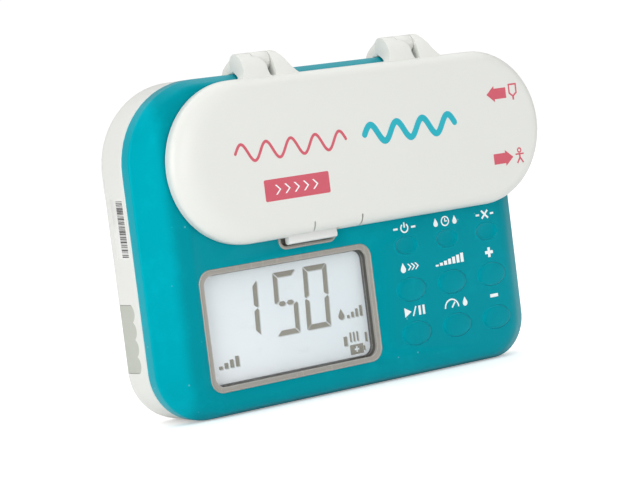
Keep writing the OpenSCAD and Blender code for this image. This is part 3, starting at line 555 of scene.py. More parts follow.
# ---------------------------------------------------------------------------
# Front cover: the soft teal overmould. A straight rim, a sloping shoulder that
# is widest on the left, and a flat face with openings for all that sits in it.
# ---------------------------------------------------------------------------
def soft_touch(name, tint, dust):
    """Soft-touch rubber: cloudy tone, a fine nap, a little lint, edges paler from wear and a painted highlight, and a
    painted highlight on the left shoulder.
    """
    material, shader, place = blank(name)
    slow = noise(place, 30.0, 4.0, 0.6)
    haze = noise(place, 75.0, 5.0, 0.75).above(0.6, 0.12)
    nap = noise(place, 2600.0, 2.0, 0.6)
    cells = place.node("ShaderNodeTexVoronoi", {}, {"Vector": place, "Scale": 230.0})
    lint = (1.0 - cells.above(0.06, 0.02)) * noise(place, 40.0).above(0.56, 0.03)
    edge, pale = edge_wear(place, 0.0006, 9.0), gained(tint, 1.45)
    body = slow.blend(gained(tint, 0.94), tint)
    across_case = place.node("ShaderNodeSeparateXYZ", {}, {0: place}, out=0)
    # painted highlight: the left shoulder, left of x = -56.3 mm, is made paler as if lit from the left
    painted_left_highlight = 1.0 - across_case.above(-0.0563, 0.0022)
    haze_and_painted_highlight = (haze * 0.25 + painted_left_highlight * (slow * 0.3 + 0.45)).held().blend(body, pale)
    # edges paler: partly wear, partly a painted highlight along the rim crease
    rubbed = (edge * 0.6).blend(haze_and_painted_highlight, pale)
    finish(
        place, shader, (lint * 0.55).blend(rubbed, dust), (slow * 0.08 + haze * 0.08 + 0.32).held(),
        relief(place, nap + lint * 2.0, 0.12, 0.00012), Specular_IOR_Level=0.6, Specular_Tint=shade(0, 235, 250))
    return material


teal_soft = soft_touch("teal_soft", shade(0, 140, 154), shade(120, 192, 198))
shoulder_left, shoulder_right, shoulder_top, shoulder_low = 8.7, 5.0, 2.0, 1.6
rim_y = part_y - 4.3
cover_wall = 1.2


def face_ring(inset, y):
    drops = (shoulder_low, shoulder_low, shoulder_top, shoulder_left)
    radii = [r - d - inset for r, d in zip(case_radii, drops)]
    left, right = -half_w + shoulder_left + inset, half_w - shoulder_right - inset
    return ring(corners(left, right, shoulder_low + inset, case_h - shoulder_top - inset, radii), y)


def part_way(first, last, share):
    return [a.lerp(b, share) for a, b in zip(first, last)]


rim_ring, crease_ring = case_ring(0, rim_y), face_ring(0, front_y)
outside = [case_ring(lip_chamfer, part_y), case_ring(0, part_y - lip_chamfer)]
outside += bend(case_ring(0, rim_y + 0.7), rim_ring, part_way(rim_ring, crease_ring, 0.09), 4)
outside += bend(part_way(rim_ring, crease_ring, 0.66), crease_ring, face_ring(2.6, front_y), 8)
inside = [case_ring(cover_wall, part_y), case_ring(cover_wall, rim_y + 0.6)]
inside += [face_ring(cover_wall, front_y + cover_wall)]
front_cover = skin(inside[::-1] + outside)

lens_lo, lens_hi = reach("lcd_lens")
screen = (lens_lo.x - 1.7, lens_hi.x + 1.7, lens_lo.z - 1.7, lens_hi.z + 1.7)
pocket = (strike_lo.x - 0.4, strike_hi.x + 0.4, door_z0 - 3.5, door_z0 + 6)
tray_lo, tray_hi = reach("pump_tray")
bay = (tray_lo.x, tray_hi.x, tray_lo.z, tray_hi.z)
bay_mid_z, tube_half, tube_w = (tray_lo.z + tray_hi.z) / 2, 9.9, 5.6
key_names = ("power", "interval", "clear", "prime", "volume", "up", "run", "rate", "down")
key_flange, key_gap = 0.9, 0.04


def grown_frame(frame_box, extra, radius):
    """A rounded rectangle round a box of left, right, low and high, a little larger or smaller."""
    left, right, low, high = frame_box
    return corners(left - extra, right + extra, low - extra, high + extra, [radius + extra] * 4)


def key_place(name):
    """Middle and half sizes of a key's cap."""
    lo, hi = reach("key_" + name)
    half = (hi - lo) / 2
    return (lo.x + hi.x) / 2, (lo.z + hi.z) / 2, half.x - key_flange, half.z - key_flange


def key_oval(name, extra, steps=48):
    x, z, half_x, half_z = key_place(name)
    return [(x + (half_x + extra) * a, z + (half_z + extra) * b) for a, b in disc(0, 0, 1.0, steps)]


openings = [prism(grown_frame(screen, 0.05, 4.0), front_y - 1, part_y)]
openings += [prism(grown_frame(pocket, 0.05, 2.6), front_y - 1, part_y)]
openings += [prism(grown_frame(bay, 0.1, 12.4), front_y - 1, part_y)]
for side in (-1, 1):
    z, half = bay_mid_z + side * tube_half, tube_w / 2 + 0.1
    openings.append(block(bay[1] - 4, half_w + 1, front_y - 1, front_y + 6, z - half, z + half))
front_cover = softened(carve(front_cover, openings), 0.12, 2, 50)
front_cover = carve(front_cover, [prism(key_oval(name, key_gap), front_y - 1, part_y) for name in key_names])
fit("front_cover_soft", front_cover, teal_soft, "case", "teal_cover", "front_cover", smooth=28)

# ---------------------------------------------------------------------------
# Hard front frame and gasket: the taupe moulding under the teal skin. It shows
# as the rim round the display and round the latch pocket.
# ---------------------------------------------------------------------------
taupe_hard = moulded("taupe_hard", shade(156, 152, 144), 0.24, 0.04, 0.06, coat=0.35, rub=0.25)
gasket_black = moulded("gasket_black", shade(42, 43, 45), 0.62, 0.08, 0.2, rub=0.04)
dress(taupe_hard, "front_frame")
dress(gasket_black, "case_gasket")


def hoop(sections):
    """A closed ring of material through outlines that come back to the first."""
    bm = bmesh.new()
    rows = [[bm.verts.new(p) for p in one] for one in sections]
    walls(bm, rows + rows[:1])
    return as_mesh(bm, "hoop")


def rim_rings(box, radius, *stops):
    """Rounded outlines at insets from a box's edge, each stood at a depth behind the front face."""
    rings = []
    for inset, depth in stops:
        left, right, low, high = box
        radii = [max(0.4, radius - inset * 0.6)] * 4
        outline = corners(left + inset, right - inset, low + inset, high - inset, radii)
        rings.append(ring(outline, front_y + depth))
    return rings


screen_rim = rim_rings(
    screen, 4.0, (0, 0.4), (0, -0.05), (0.06, -0.16), (0.16, -0.22), (0.3, -0.22), (0.46, -0.1), (0.62, 0.2),
    (0.78, 0.66), (0.9, 0.72), (1.02, 0.56), (1.16, 0.58), (1.28, 0.85), (1.6, 1.1), (1.6, 1.9), (1.0, 1.9))
pocket_rim = rim_rings(
    pocket, 2.6, (0, 0.4), (0, -0.05), (0.08, -0.18), (0.25, -0.22), (0.5, -0.22), (0.7, -0.12), (0.95, 0.3),
    (0.97, 2.6), (0.4, 2.6))
# painted shade: a dark hoop on the opening's inner wall behind the rim, standing in for the shadow there
shade_liner = rim_rings(screen, 4.0, (1.4, 0.98), (1.56, 0.92), (1.8, 1.2), (1.95, 1.94), (1.4, 1.94))
fit("display_rim", hoop(screen_rim), taupe_hard, "case", "taupe_frame")
fit("latch_pocket_rim", hoop(pocket_rim), taupe_hard, "case", "taupe_frame")
# dark colour of the painted shade inside the display rim
painted_shade_dark = moulded("painted_shade_dark", shade(66, 63, 58), 0.35, 0.06, 0.15, coat=0.2)
fit("display_wall_shade", hoop(shade_liner), painted_shade_dark, "case", "dark_rubber")

# ---------------------------------------------------------------------------
# Display: a clear hard-coated pane over a reflective liquid-crystal panel. The
# segments are thin films, each with a painted shadow: a grey copy set off on the reflector.
# ---------------------------------------------------------------------------
def pane(name):
    """Clear acrylic with a hard coat, faint dust and wipe marks."""
    material, shader, place = blank(name)
    wipe = noise(place, 90.0, 4.0, 0.7, stretch=(1.0, 1.0, 3.0)).above(0.62, 0.08)
    tint = wipe.blend(shade(236, 243, 246), shade(250, 250, 250))
    finish(place, shader, tint, wipe * 0.06 + 0.05, None, Coat_Weight=0.3)
    place.plug(shader.inputs["Alpha"], wipe * 0.03 + 0.07)
    return material


def reflector(name):
    """Silvered reflector of the panel, with a fine linen of scratches and a painted shade: bright and cool at the
    lower left, darker towards the upper right.
    """
    material, shader, place = blank(name)
    x, z = (place.node("ShaderNodeSeparateXYZ", {}, {0: place}, out=axis) for axis in (0, 2))
    # painted shade: 0 towards the lower left of the panel, 1 towards the upper right, where the colour is darker
    rise = (z + x * 0.55).above(-0.001, 0.03)
    cloud = noise(place, 55.0, 3.0, 0.55)
    linen = noise(place, 1400.0, 2.0, 0.6, stretch=(1.0, 1.0, 0.35))
    uneven = cloud * 0.6 + linen * 0.4
    lit_tone = uneven.blend(shade(242, 248, 252), shade(252, 254, 255))
    shaded_tone = uneven.blend(shade(222, 232, 237), shade(241, 246, 248))
    finish(
        place, shader, rise.blend(lit_tone, shaded_tone), cloud * 0.12 + 0.34,
        relief(place, linen, 0.08, 0.0001), Metallic=0.15)
    return material


lens_clear, panel_silver = pane("lens_clear"), reflector("panel_silver")
dress(lens_clear, "lcd_lens")
dress(panel_silver, "lcd_panel")
dress(moulded("light_guide", shade(240, 242, 240), 0.3, 0.01, 0.03), "lcd_backlight")


def film(shapes, y, thick):
    """Thin closed films in front of a depth: each shape is an outline of (x, z) points, or a pair for a hoop."""
    bm = bmesh.new()
    for points in shapes:
        if isinstance(points, tuple):
            loops = [[bm.verts.new((x, depth, z)) for x, z in points[edge]]
                     for edge, depth in ((0, y - thick), (0, y), (1, y), (1, y - thick))]
            walls(bm, loops + loops[:1])
            continue
        front, back = ([bm.verts.new((x, depth, z)) for x, z in points] for depth in (y - thick, y))
        bm.faces.new(front)
        bm.faces.new(back[::-1])
        walls(bm, [back, front])
    return as_mesh(bm, "film")


def bar(x0, x1, z0, z1):
    return [(x0, z0), (x1, z0), (x1, z1), (x0, z1)]


def stroke(x0, z0, x1, z1, width, taper=0.0):
    """A straight line of a width, with its ends cut to points by a taper."""
    along = Vector((x1 - x0, z1 - z0)).normalized()
    side = Vector((-along.y, along.x)) * width / 2
    a, b = Vector((x0, z0)), Vector((x1, z1))
    if not taper:
        return [tuple(p) for p in (a - side, b - side, b + side, a + side)]
    return [tuple(p) for p in (
        a, a + along * taper - side, b - along * taper - side, b, b - along * taper + side, a + along * taper + side)]


def arc(x, z, inner, outer, start, end, steps=20):
    """Part of a round band, from one angle to another."""
    turns = [math.radians(start + (end - start) * n / steps) for n in range(steps + 1)]
    points = [(x + outer * math.cos(a), z + outer * math.sin(a)) for a in turns]
    return [points + [(x + inner * math.cos(a), z + inner * math.sin(a)) for a in reversed(turns)]]


def circle(x, z, inner, outer):
    """A whole round band."""
    return [(disc(x, z, outer, 28), disc(x, z, inner, 28))]


def cross(x, z, size, width, turn=0):
    """A plus sign as one outline, turned by an angle."""
    a, b, turn = width / 2, size / 2, math.radians(turn)
    points = [(a, a), (a, b), (-a, b), (-a, a), (-b, a), (-b, -a),
              (-a, -a), (-a, -b), (a, -b), (a, -a), (b, -a), (b, a)]
    c, s = math.cos(turn), math.sin(turn)
    return [[(x + u * c - v * s, z + u * s + v * c) for u, v in points]]


def drop(x, z, size):
    """A drop of liquid with its point up."""
    radius = size * 0.32
    points = [(x + radius * math.cos(a), z - size * 0.18 + radius * math.sin(a))
              for a in (math.radians(150 + 240 * n / 16) for n in range(17))]
    return points + [(x, z + size * 0.5)]


def digit(number, x0, x1, z0, z1, width=1.45, gap=0.16):
    """A seven-segment digit with mitred corners, leaning a little. Its middle bar is in two short pieces."""
    mid, half, w = (z0 + z1) / 2, width / 2, width
    def side(x, inward, end, outer):
        """An upright segment from its mitred outer end to its point at the middle."""
        up = 1 if outer > mid else -1
        return [(x, outer - up * gap), (x + inward * w, outer - up * (w + gap)),
                (x + inward * w, end + up * (half + gap)), (x + inward * half * 0.6, end + up * gap),
                (x, end + up * (gap + 0.3))]
    bars = {
        "top": [[(x0 + gap, z1), (x1 - gap, z1), (x1 - w - gap, z1 - w), (x0 + w + gap, z1 - w)]],
        "foot": [[(x0 + gap, z0), (x0 + w + gap, z0 + w), (x1 - w - gap, z0 + w), (x1 - gap, z0)]],
        "mid": [stroke(x0 + 1.3, mid, (x0 + x1) / 2 - 0.15, mid, width * 0.9, 0.6),
                stroke((x0 + x1) / 2 + 0.15, mid, x1 - 1.3, mid, width * 0.9, 0.6)],
        "left_up": [side(x0, 1, mid, z1)], "left_low": [side(x0, 1, mid, z0)],
        "right_up": [side(x1, -1, mid, z1)], "right_low": [side(x1, -1, mid, z0)],
    }
    lit = {0: "top foot left_up left_low right_up right_low", 1: "right_up right_low",
           5: "top left_up mid right_low foot"}[number]
    return [[(x + (z - mid) * 0.05, z) for x, z in shape] for part in lit.split() for shape in bars[part]]


segments = digit(1, -37.6, -29.6, 20.8, 36.6) + digit(5, -24.0, -16.1, 19.4, 37.7) + digit(0, -13.5, -5.2, 19.5, 37.9)
segments += [drop(-1.6, 22.2, 3.2)] + [bar(0.4 + 1.55 * n, 1.3 + 1.55 * n, 20.7, 21.6 + 0.75 * n) for n in range(4)]
segments += [bar(-45.2 + 1.9 * n, -44.0 + 1.9 * n, 13.3, 14.2 + 0.7 * n) for n in range(4)]
segments += [bar(-1.8, -0.6, 12.7, 15.5), bar(5.9, 6.6, 12.9, 15.7)]
segments += [bar(0.45 + 1.25 * n, 1.0 + 1.25 * n, 13.6, 16.4) for n in range(3)]
cell_x, cell_z, cell_w, cell_h = 2.5, 11.2, 2.35, 1.45
cell_edge = [(cell_x + u, cell_z + v) for u, v in (
    (cell_w, cell_h), (0.3, cell_h), (-0.3, cell_h), (-cell_w, cell_h), (-cell_w, 0.3), (-cell_w, -0.3),
    (-cell_w, -cell_h), (-0.3, -cell_h), (0.3, -cell_h), (cell_w, -cell_h), (cell_w, -0.3), (cell_w, 0.3))]
cell_right = cell_x + cell_w
segments += [(cell_edge, cross(cell_x, cell_z, 1.7, 0.55)[0]), bar(cell_right + 0.1, cell_right + 0.6, 10.5, 11.9)]


def crystal(name, tint):
    """Dark film of a liquid-crystal segment, a little uneven."""
    material, shader, place = blank(name)
    uneven = noise(place, 260.0, 3.0, 0.6)
    base = uneven.blend(tint, gained(tint, 1.25))
    finish(place, shader, base, uneven * 0.15 + 0.4, relief(place, uneven, 0.05, 0.0001))
    return material


lcd_y = reach("lcd_panel")[0].y
segment_dark = crystal("segment_dark", shade(122, 116, 100))
# painted shadow of the segments: a grey film laid on the reflector, a little down and right of each
segment_shade = crystal("segment_shade", shade(178, 184, 182))
fit("display_segments", film(segments, lcd_y - 0.02, 0.05), segment_dark, "case", "lcd")
thrown = [[(x + 0.32, z - 0.3) for x, z in shape] for shape in segments if isinstance(shape, list)]
fit("display_thrown_shade", film(thrown, lcd_y, 0.012), segment_shade, "case", "lcd")

# ---------------------------------------------------------------------------
# Keys: nine oval caps of the same soft rubber, each on a flange behind the
# frame. The top row is dished against slips; the others are crowned.
# ---------------------------------------------------------------------------
for name in key_names:
    rear_y = reach("key_" + name)[1].y
    neck_y = rear_y - 0.6
    dished = name in ("power", "interval", "clear")

    def cap_ring(share, y):
        x, z, half_x, half_z = key_place(name)
        return ring([(x + half_x * share * a, z + half_z * share * b) for a, b in disc(0, 0, 1.0, 48)], y)

    flange = [ring(key_oval(name, key_flange), y) for y in (rear_y, neck_y)] + [cap_ring(1.0, neck_y)]
    if dished:
        rows = [(1.0, front_y + 0.03), (0.985, front_y - 0.02), (0.95, front_y - 0.03), (0.91, front_y + 0.12)]
        rows += [(0.84, front_y + 0.36), (0.74, front_y + 0.48), (0.5, front_y + 0.52), (0.2, front_y + 0.54)]
    else:
        rows = [(1.0, front_y + 0.03), (0.985, front_y - 0.04), (0.95, front_y - 0.2), (0.9, front_y - 0.33)]
        rows += [(0.82, front_y - 0.41), (0.65, front_y - 0.47), (0.4, front_y - 0.5), (0.15, front_y - 0.51)]
    cap = skin(flange + [cap_ring(share, y) for share, y in rows])
    fit("cap_" + name, cap, teal_soft, f"key_{name}_body", "teal_cover", "key_" + name, smooth=40)

dress(moulded("dome_rubber", shade(96, 98, 102), 0.55, 0.06, 0.15), "key_domes")


def board_finish(name):
    """Green solder mask over copper: faint tracks, bright pads and a woven core."""
    material, shader, place = blank(name)
    weave = noise(place, 900.0, 1.0, 0.5, stretch=(1.0, 1.0, 6.0))
    tracks = place.node("ShaderNodeTexBrick", {"offset": 0.35}, {"Vector": place.node(
        "ShaderNodeMapping", {}, {"Vector": place, "Rotation": (math.pi / 2, 0.0, 0.0)}), "Scale": 120.0,
        "Mortar Size": 0.06, "Color1": (0, 0, 0, 1), "Color2": (0, 0, 0, 1), "Mortar": (1, 1, 1, 1)})
    base = weave.blend(shade(20, 92, 58), shade(28, 112, 70))
    finish(
        place, shader, (tracks * 0.5).blend(base, shade(60, 150, 96)), weave * 0.1 + 0.3,
        relief(place, tracks + weave * 0.3, 0.2, 0.0002))
    return material


board_green = board_finish("board_green")
dress(board_green, "keypad_board", "main_board")


def ink(name, tint):
    """Pad-printed ink: slightly uneven cover, a satin face."""
    material, shader, place = blank(name)
    uneven = noise(place, 900.0, 3.0, 0.65)
    slow = noise(place, 80.0, 2.0)
    base = (uneven * 0.6 + slow * 0.4).blend(tint, gained(tint, 1.1, 0.015))
    finish(place, shader, base, uneven * 0.12 + 0.38, relief(place, uneven, 0.06, 0.00008))
    return material


ink_white = ink("ink_white", shade(236, 240, 240))
print_thick = 0.05


def chevrons(x, z, count, size, pitch, width=0.5):
    shapes = []
    for n in range(count):
        tip, half = x + n * pitch + size * 0.5, size / 2
        shapes.append([(tip - half, z + half), (tip - half + width, z + half), (tip + width, z),
                       (tip - half + width, z - half), (tip - half, z - half), (tip, z)])
    return shapes


def key_sign(name, x, z):
    """The printed sign above a key: pictures only."""
    if name == "power":
        return arc(x, z, 1.05, 1.5, -235, 55) + [bar(x - 0.24, x + 0.24, z + 0.1, z + 1.7)] + [
            bar(x - 4.1, x - 2.5, z - 0.3, z + 0.3), bar(x + 2.5, x + 4.1, z - 0.3, z + 0.3)]
    if name == "interval":
        hands = [(-0.2, -0.2), (0.75, -0.2), (0.75, 0.15), (0.15, 0.15), (0.15, 0.95), (-0.2, 0.95)]
        drops = [drop(x - 3.6, z, 2.6), drop(x + 3.6, z, 2.6)]
        return circle(x, z, 1.15, 1.55) + [[(x + u, z + v) for u, v in hands]] + drops
    if name == "clear":
        return cross(x, z, 3.4, 0.6, 45) + [
            bar(x - 3.4, x - 2.1, z - 0.3, z + 0.3), bar(x + 2.1, x + 3.4, z - 0.3, z + 0.3)]
    if name == "prime":
        return [drop(x - 2.2, z, 3.0)] + chevrons(x - 0.6, z, 3, 2.0, 1.35)
    if name == "volume":
        return [bar(x - 5.4 + 1.6 * n, x - 4.3 + 1.6 * n, z - 1.4, z - 0.9 + 0.38 * n) for n in range(7)]
    if name == "up":
        return cross(x, z, 3.0, 0.95)
    if name == "down":
        return [bar(x - 1.5, x + 1.5, z - 0.5, z + 0.5)]
    if name == "run":
        return [[(x - 3.6, z - 1.45), (x - 1.1, z), (x - 3.6, z + 1.45)],
                stroke(x - 0.6, z - 1.4, x + 0.7, z + 1.4, 0.45),
                bar(x + 1.6, x + 2.4, z - 1.4, z + 1.4), bar(x + 3.1, x + 3.9, z - 1.4, z + 1.4)]
    return arc(x - 1.2, z - 1.2, 2.3, 2.75, 0, 180, 18) + [
        stroke(x - 1.2, z - 1.2, x + 0.1, z + 0.4, 0.5), drop(x + 3.9, z, 2.8)]


sign_rows = {0: 44.3, 1: 32.6, 2: 19.3}
signs = []
for k, name in enumerate(key_names):
    signs += key_sign(name, key_place(name)[0], sign_rows[k // 3])
fit("key_signs", film(signs, front_y + 0.01, print_thick), ink_white, "case", "label_paper")

# ---------------------------------------------------------------------------
# Pump door: a white ABS shell with round ends and a long soft taper on the left.
# Two arms carry its hinge knuckles; two slits let the latch side flex.
# ---------------------------------------------------------------------------
door_lo, door_hi = reach("door_shell")
door_x0, door_x1, door_y, door_back = door_lo.x, door_hi.x, door_lo.y + print_thick, front_y - 0.3
door_h, door_wall, door_round, door_taper = 46.5, 1.6, 3.6, 10.0
door_z1 = door_z0 + door_h


def door_ring(inset, left_inset, y):
    radius = door_h / 2 - inset
    return ring(corners(door_x0 + left_inset, door_x1 - inset, door_z0 + inset, door_z1 - inset, [radius] * 4, 24), y)


def door_rings(inset, y, steps=12):
    """The rounded edge of the door, from its side to its flat front."""
    turned = []
    for n in range(steps + 1):
        a = math.radians(90 * n / steps)
        fall, depth = 1 - math.cos(a), y + door_round * (1 - math.sin(a))
        turned.append(door_ring(inset + door_round * fall, inset + door_taper * fall, depth))
    return turned


door_inside = [door_ring(door_wall, door_wall, door_back)] + door_rings(door_wall, door_y + door_wall)
door_outside = [door_ring(0.3, 0.3, door_back), door_ring(0, 0, door_back - 0.3)] + door_rings(0, door_y)
door = skin(door_inside[::-1] + door_outside)


def door_arm(x0, x1, front_view):
    """A knuckle on a web that slopes forward into the door's top edge, cut to its outline from the front."""
    top = pin_z + knuckle_r
    side_view = [(pin_y + knuckle_r * math.cos(a), pin_z + knuckle_r * math.sin(a))
                 for a in (math.radians(t) for t in range(-48, 100, 12))]
    side_view += [
        (pin_y - 1.6, top - 0.3), (door_y + 5.6, top - 0.85), (door_y + 4.6, top - 1.7), (door_y + 3.7, top - 3.1),
        (door_y + 2.8, door_z1 + 1.4), (door_y + 2, door_z1 - 1), (door_y + 2, door_z1 - 4),
        (door_back, door_z1 - 4), (door_back, door_z1 + 0.3),
    ]
    web = across(side_view, x0 - 3, x1 + fin_w)
    return softened(carve(web, [prism(front_view, door_y, pin_y + knuckle_r + 1)], "INTERSECT"), 0.8, 4, 30)


def door_arms(x0):
    """A hinge's two arms: a broad one that runs in front of the case knuckle, and a slim one with a long foot."""
    top, x1, xf = pin_z + knuckle_r, x0 + knuckle_w, x0 + fin_inset
    xk, foot_x, head_x = xf - lug_w - 2 * hinge_gap, xf + fin_w, xf + fin_top
    broad = [
        (x0 - 1, door_z1 - 4), (x1 + 1.2, door_z1 - 4), (x1 + 1.2, door_z1 - 0.8), (x1 + 0.25, door_z1 + 0.4),
        (x1, door_z1 + 1.6), (x1, pin_z - 1.2), (x1 - 1.2, pin_z + 0.7),
        (xk, pin_z + 1.9), (xk, top + 0.01), (x0, top + 0.01),
        (x0, door_z1 + 2.4), (x0 - 0.3, door_z1 + 1), (x0 - 1, door_z1),
    ]
    slim = [
        (xf - 0.6, door_z1 - 4), (foot_x, door_z1 - 4), (foot_x, door_z1 - 0.4), (foot_x - 1.2, door_z1 + 0.6),
        (foot_x - 2.6, door_z1 + 2.3), (head_x + 1.1, pin_z + 0.6),
        (head_x + 0.2, top - 0.7), (head_x - 0.6, top + 0.01),
        (xf, top + 0.01), (xf, door_z1 + 1), (xf - 0.6, door_z1 - 0.8),
    ]
    room = rod(xk, xf, pin_y, pin_z, knuckle_r + 0.3)
    return [carve(door_arm(x0, x1, broad), [room]), door_arm(xf, xf + fin_top, slim)]


latch_lo, latch_hi = reach("latch_lever")
latch_pin_lo, latch_pin_hi = reach("latch_pin")
latch_y, latch_z = (latch_pin_lo.y + latch_pin_hi.y) / 2, (latch_pin_lo.z + latch_pin_hi.z) / 2
bearings = [
    block(x, x + 1.6, door_y + 1, door_back - 1.3, door_z0 + 1, latch_z + 1.8)
    for x in (latch_lo.x - 1.9, latch_hi.x + 0.3)
]
door_mid_z = (door_z0 + door_z1) / 2
door_screws = [(door_x0 + 18.3, 16), (door_x0 + 74.3, 16), (door_x1 - 13.2, 10), (door_x0 + 50.3, 8)]
posts = [prism(disc(x, door_mid_z + z, 2.2, 24), door_y + 1, door_back - 1.3) for x, z in door_screws]
door = carve(door, [arm for x0 in hinge_starts for arm in door_arms(x0)] + bearings + posts, "UNION")
slit_places = (latch_lo.x + 7.9, latch_lo.x + 24.7)
slits = [block(x - 0.28, x + 0.28, door_y - 1, door_back + 1, door_z0 - 1, door_z0 + 3.5) for x in slit_places]
latch_slot = block(latch_lo.x - 0.3, latch_hi.x + 0.3, latch_y - 2.1, door_back + 1, door_z0 - 1, latch_z + 1.7)
pin_holes = [rod(x0 + 1, x0 + fin_inset + fin_top - 0.7, pin_y, pin_z, 1.15) for x0 in hinge_starts]
pin_holes += [rod(latch_lo.x - 3, latch_hi.x + 3, latch_y, latch_z, 0.7, 16)]
post_holes = [prism(disc(x, door_mid_z + z, 0.8, 16), door_y + 1.8, door_back + 1) for x, z in door_screws]
door = carve(door, slits + [latch_slot] + pin_holes + post_holes)
fit("door_cover", door, shell_white, "door", "white_shell", "door_shell", smooth=36)

# Printed marks on the door: flow arrows, a wave and plain bars, in two inks.
ink_rose, ink_teal = ink("ink_rose", shade(200, 84, 100)), ink("ink_teal", shade(0, 168, 184))


def arrow(x0, x1, z0, z1, head, leftward):
    """A block arrow."""
    if leftward:
        x0, x1, head = x1, x0, -head
    neck, mid, deep = x1 - head, (z0 + z1) / 2, (z1 - z0) * 0.17
    return [[(x0, z0 + deep), (neck, z0 + deep), (neck, z0), (x1, mid),
             (neck, z1), (neck, z1 - deep), (x0, z1 - deep)]]


def wave(x0, x1, z, rise, width, turns, steps=24):
    """A line of even width that runs in a sine wave, with round ends."""
    low, high = [], []
    count = int(turns * steps)
    for n in range(count + 1):
        a = 2 * math.pi * turns * n / count
        middle = Vector((x0 + (x1 - x0) * n / count, z + rise * math.sin(a)))
        along = Vector((x1 - x0, rise * 2 * math.pi * turns * math.cos(a))).normalized()
        side = Vector((-along.y, along.x)) * width / 2
        low.append(middle - side)
        high.append(middle + side)
    def cap(middle, first):
        return [middle + Matrix.Rotation(math.pi * k / 8, 2) @ (first - middle) for k in range(1, 8)]
    points = low + cap((low[-1] + high[-1]) / 2, low[-1]) + high[::-1] + cap((low[0] + high[0]) / 2, high[0])
    return [[tuple(p) for p in points]]


mark_y = door_y + 0.01
rose_marks = arrow(54.9, 62.4, 77.8, 82.7, 3.0, True) + arrow(54.9, 62.4, 58.2, 63.0, 3.0, False)
bag_outside = [
    (-1.6, 1.6), (1.6, 1.6), (1.6, -1.4), (0.3, -2.4), (0.3, -3.4), (-0.3, -3.4), (-0.3, -2.4), (-1.6, -1.4)]
bag_inside = [
    (-1.1, 1.1), (1.1, 1.1), (1.1, -1.15), (0.15, -1.85), (0.05, -1.9), (-0.05, -1.9), (-0.15, -1.85), (-1.1, -1.15)]
rose_marks.append(tuple([(65.1 + u, 81.2 + v) for u, v in loop] for loop in (bag_outside, bag_inside)))
figure = [(-1.6, 0.22), (-1.6, -0.22), (-0.3, -0.22), (-0.3, -1.0), (-1.4, -2.6), (-0.95, -2.85), (0.0, -1.5),
          (0.95, -2.85), (1.4, -2.6), (0.3, -1.0), (0.3, -0.22), (1.6, -0.22), (1.6, 0.22)]
rose_marks += circle(65.0, 62.35, 0.42, 0.85) + [[(65.0 + u, 61.2 + v) for u, v in figure]]
rose_marks += wave(-36.4, 1.6, 73.2, 2.5, 0.85, 4.5)
fit("door_marks_rose", film(rose_marks, mark_y, print_thick), ink_rose, "door", "label_paper")
teal_marks = wave(8.4, 41.6, 73.6, 2.6, 1.9, 3.5)
fit("door_marks_teal", film(teal_marks, mark_y, print_thick), ink_teal, "door", "label_paper")
badge = corners(-28.2, -5.9, 58.6, 64.8, [0.5] * 4, 4)
fit("door_badge", film([badge], mark_y, print_thick * 0.6), ink_rose, "door", "label_paper")
badge_marks = chevrons(-24.6, 61.7, 5, 2.8, 3.2, 0.55)
badge_film = film(badge_marks, mark_y - print_thick * 0.5, print_thick * 0.5)
fit("door_badge_marks", badge_film, ink_white, "door", "label_paper")

# Liner, seal, tube pads and screws on the inside of the door.
tray_grey = moulded("tray_grey", shade(205, 206, 202), 0.42, 0.03, 0.08)
silicone_grey = moulded("silicone_grey", shade(150, 152, 150), 0.55, 0.05, 0.2, rub=0.12)
dress(tray_grey, "door_liner")
dress(silicone_grey, "door_seal", "tube_pads")


def metal(name, tint, rough, brushed=(1.0, 40.0, 1.0)):
    """Turned or rolled metal: fine lines one way and blotches of handling."""
    material, shader, place = blank(name)
    lines = noise(place, 320.0, 3.0, 0.7, stretch=brushed)
    cloud = noise(place, 130.0, 3.0, 0.6)
    finish(
        place, shader, (lines * 0.45 + cloud * 0.55).blend(gained(tint, 0.78), tint),
        (lines * 0.16 + cloud * 0.12 + (rough - 0.1)).held(), relief(place, lines, 0.12, 0.0001), Metallic=1.0)
    return material


steel, brass = metal("steel_turned", shade(200, 202, 205), 0.3), metal("brass_turned", shade(214, 178, 104), 0.32)
dress(steel, "door_screws", "hinge_pins", "latch_pin", "latch_spring", "latch_strike")

# ---------------------------------------------------------------------------
# Latch: a glossy white finger lip on a pin under the door's edge, with a hook
# that catches behind the steel strike in the pocket.
# ---------------------------------------------------------------------------
gloss_white = moulded("gloss_white", shade(226, 227, 224), 0.18, 0.01, 0.02, coat=0.4)
lip_half, hook_x = 1.1, (latch_lo.x + latch_hi.x) / 2
lip_front, lip_back, lip_z0 = latch_y - lip_half, latch_y + lip_half, latch_lo.z
lip_profile = [(lip_front + 0.5, latch_z), (lip_front, latch_z - 1.2), (lip_front, latch_z - 2.2),
               (lip_front + 0.28, latch_z - 3.2), (lip_front + 0.05, latch_z - 4.2),
               (lip_front + 0.25, lip_z0 + 0.35), (lip_front + 0.8, lip_z0),
               (lip_back - 0.6, lip_z0), (lip_back, lip_z0 + 0.6), (lip_back, latch_z)]
hook_y = strike_hi.y + 0.6
lever = across(lip_profile, latch_lo.x, latch_hi.x)
lever = carve(lever, [
    rod(latch_lo.x, latch_hi.x, latch_y, latch_z, 1.2, 32),
    block(hook_x - 4, hook_x + 4, latch_y, hook_y + 1, door_z0 - 0.9, door_z0 + 0.4),
    block(hook_x - 4, hook_x + 4, hook_y, hook_y + 1, door_z0 - 0.7, strike_lo.z + 1),
], "UNION")
lever = carve(lever, [rod(latch_lo.x - 1, latch_hi.x + 1, latch_y, latch_z, 0.75, 24),
                      rod(hook_x - 1.9, hook_x + 1.9, latch_y, latch_z, 1.6, 32)])
fit("latch_lip", softened(lever, 0.3, 3, 40), gloss_white, "latch", "white_shell", "latch_lever", smooth=40)

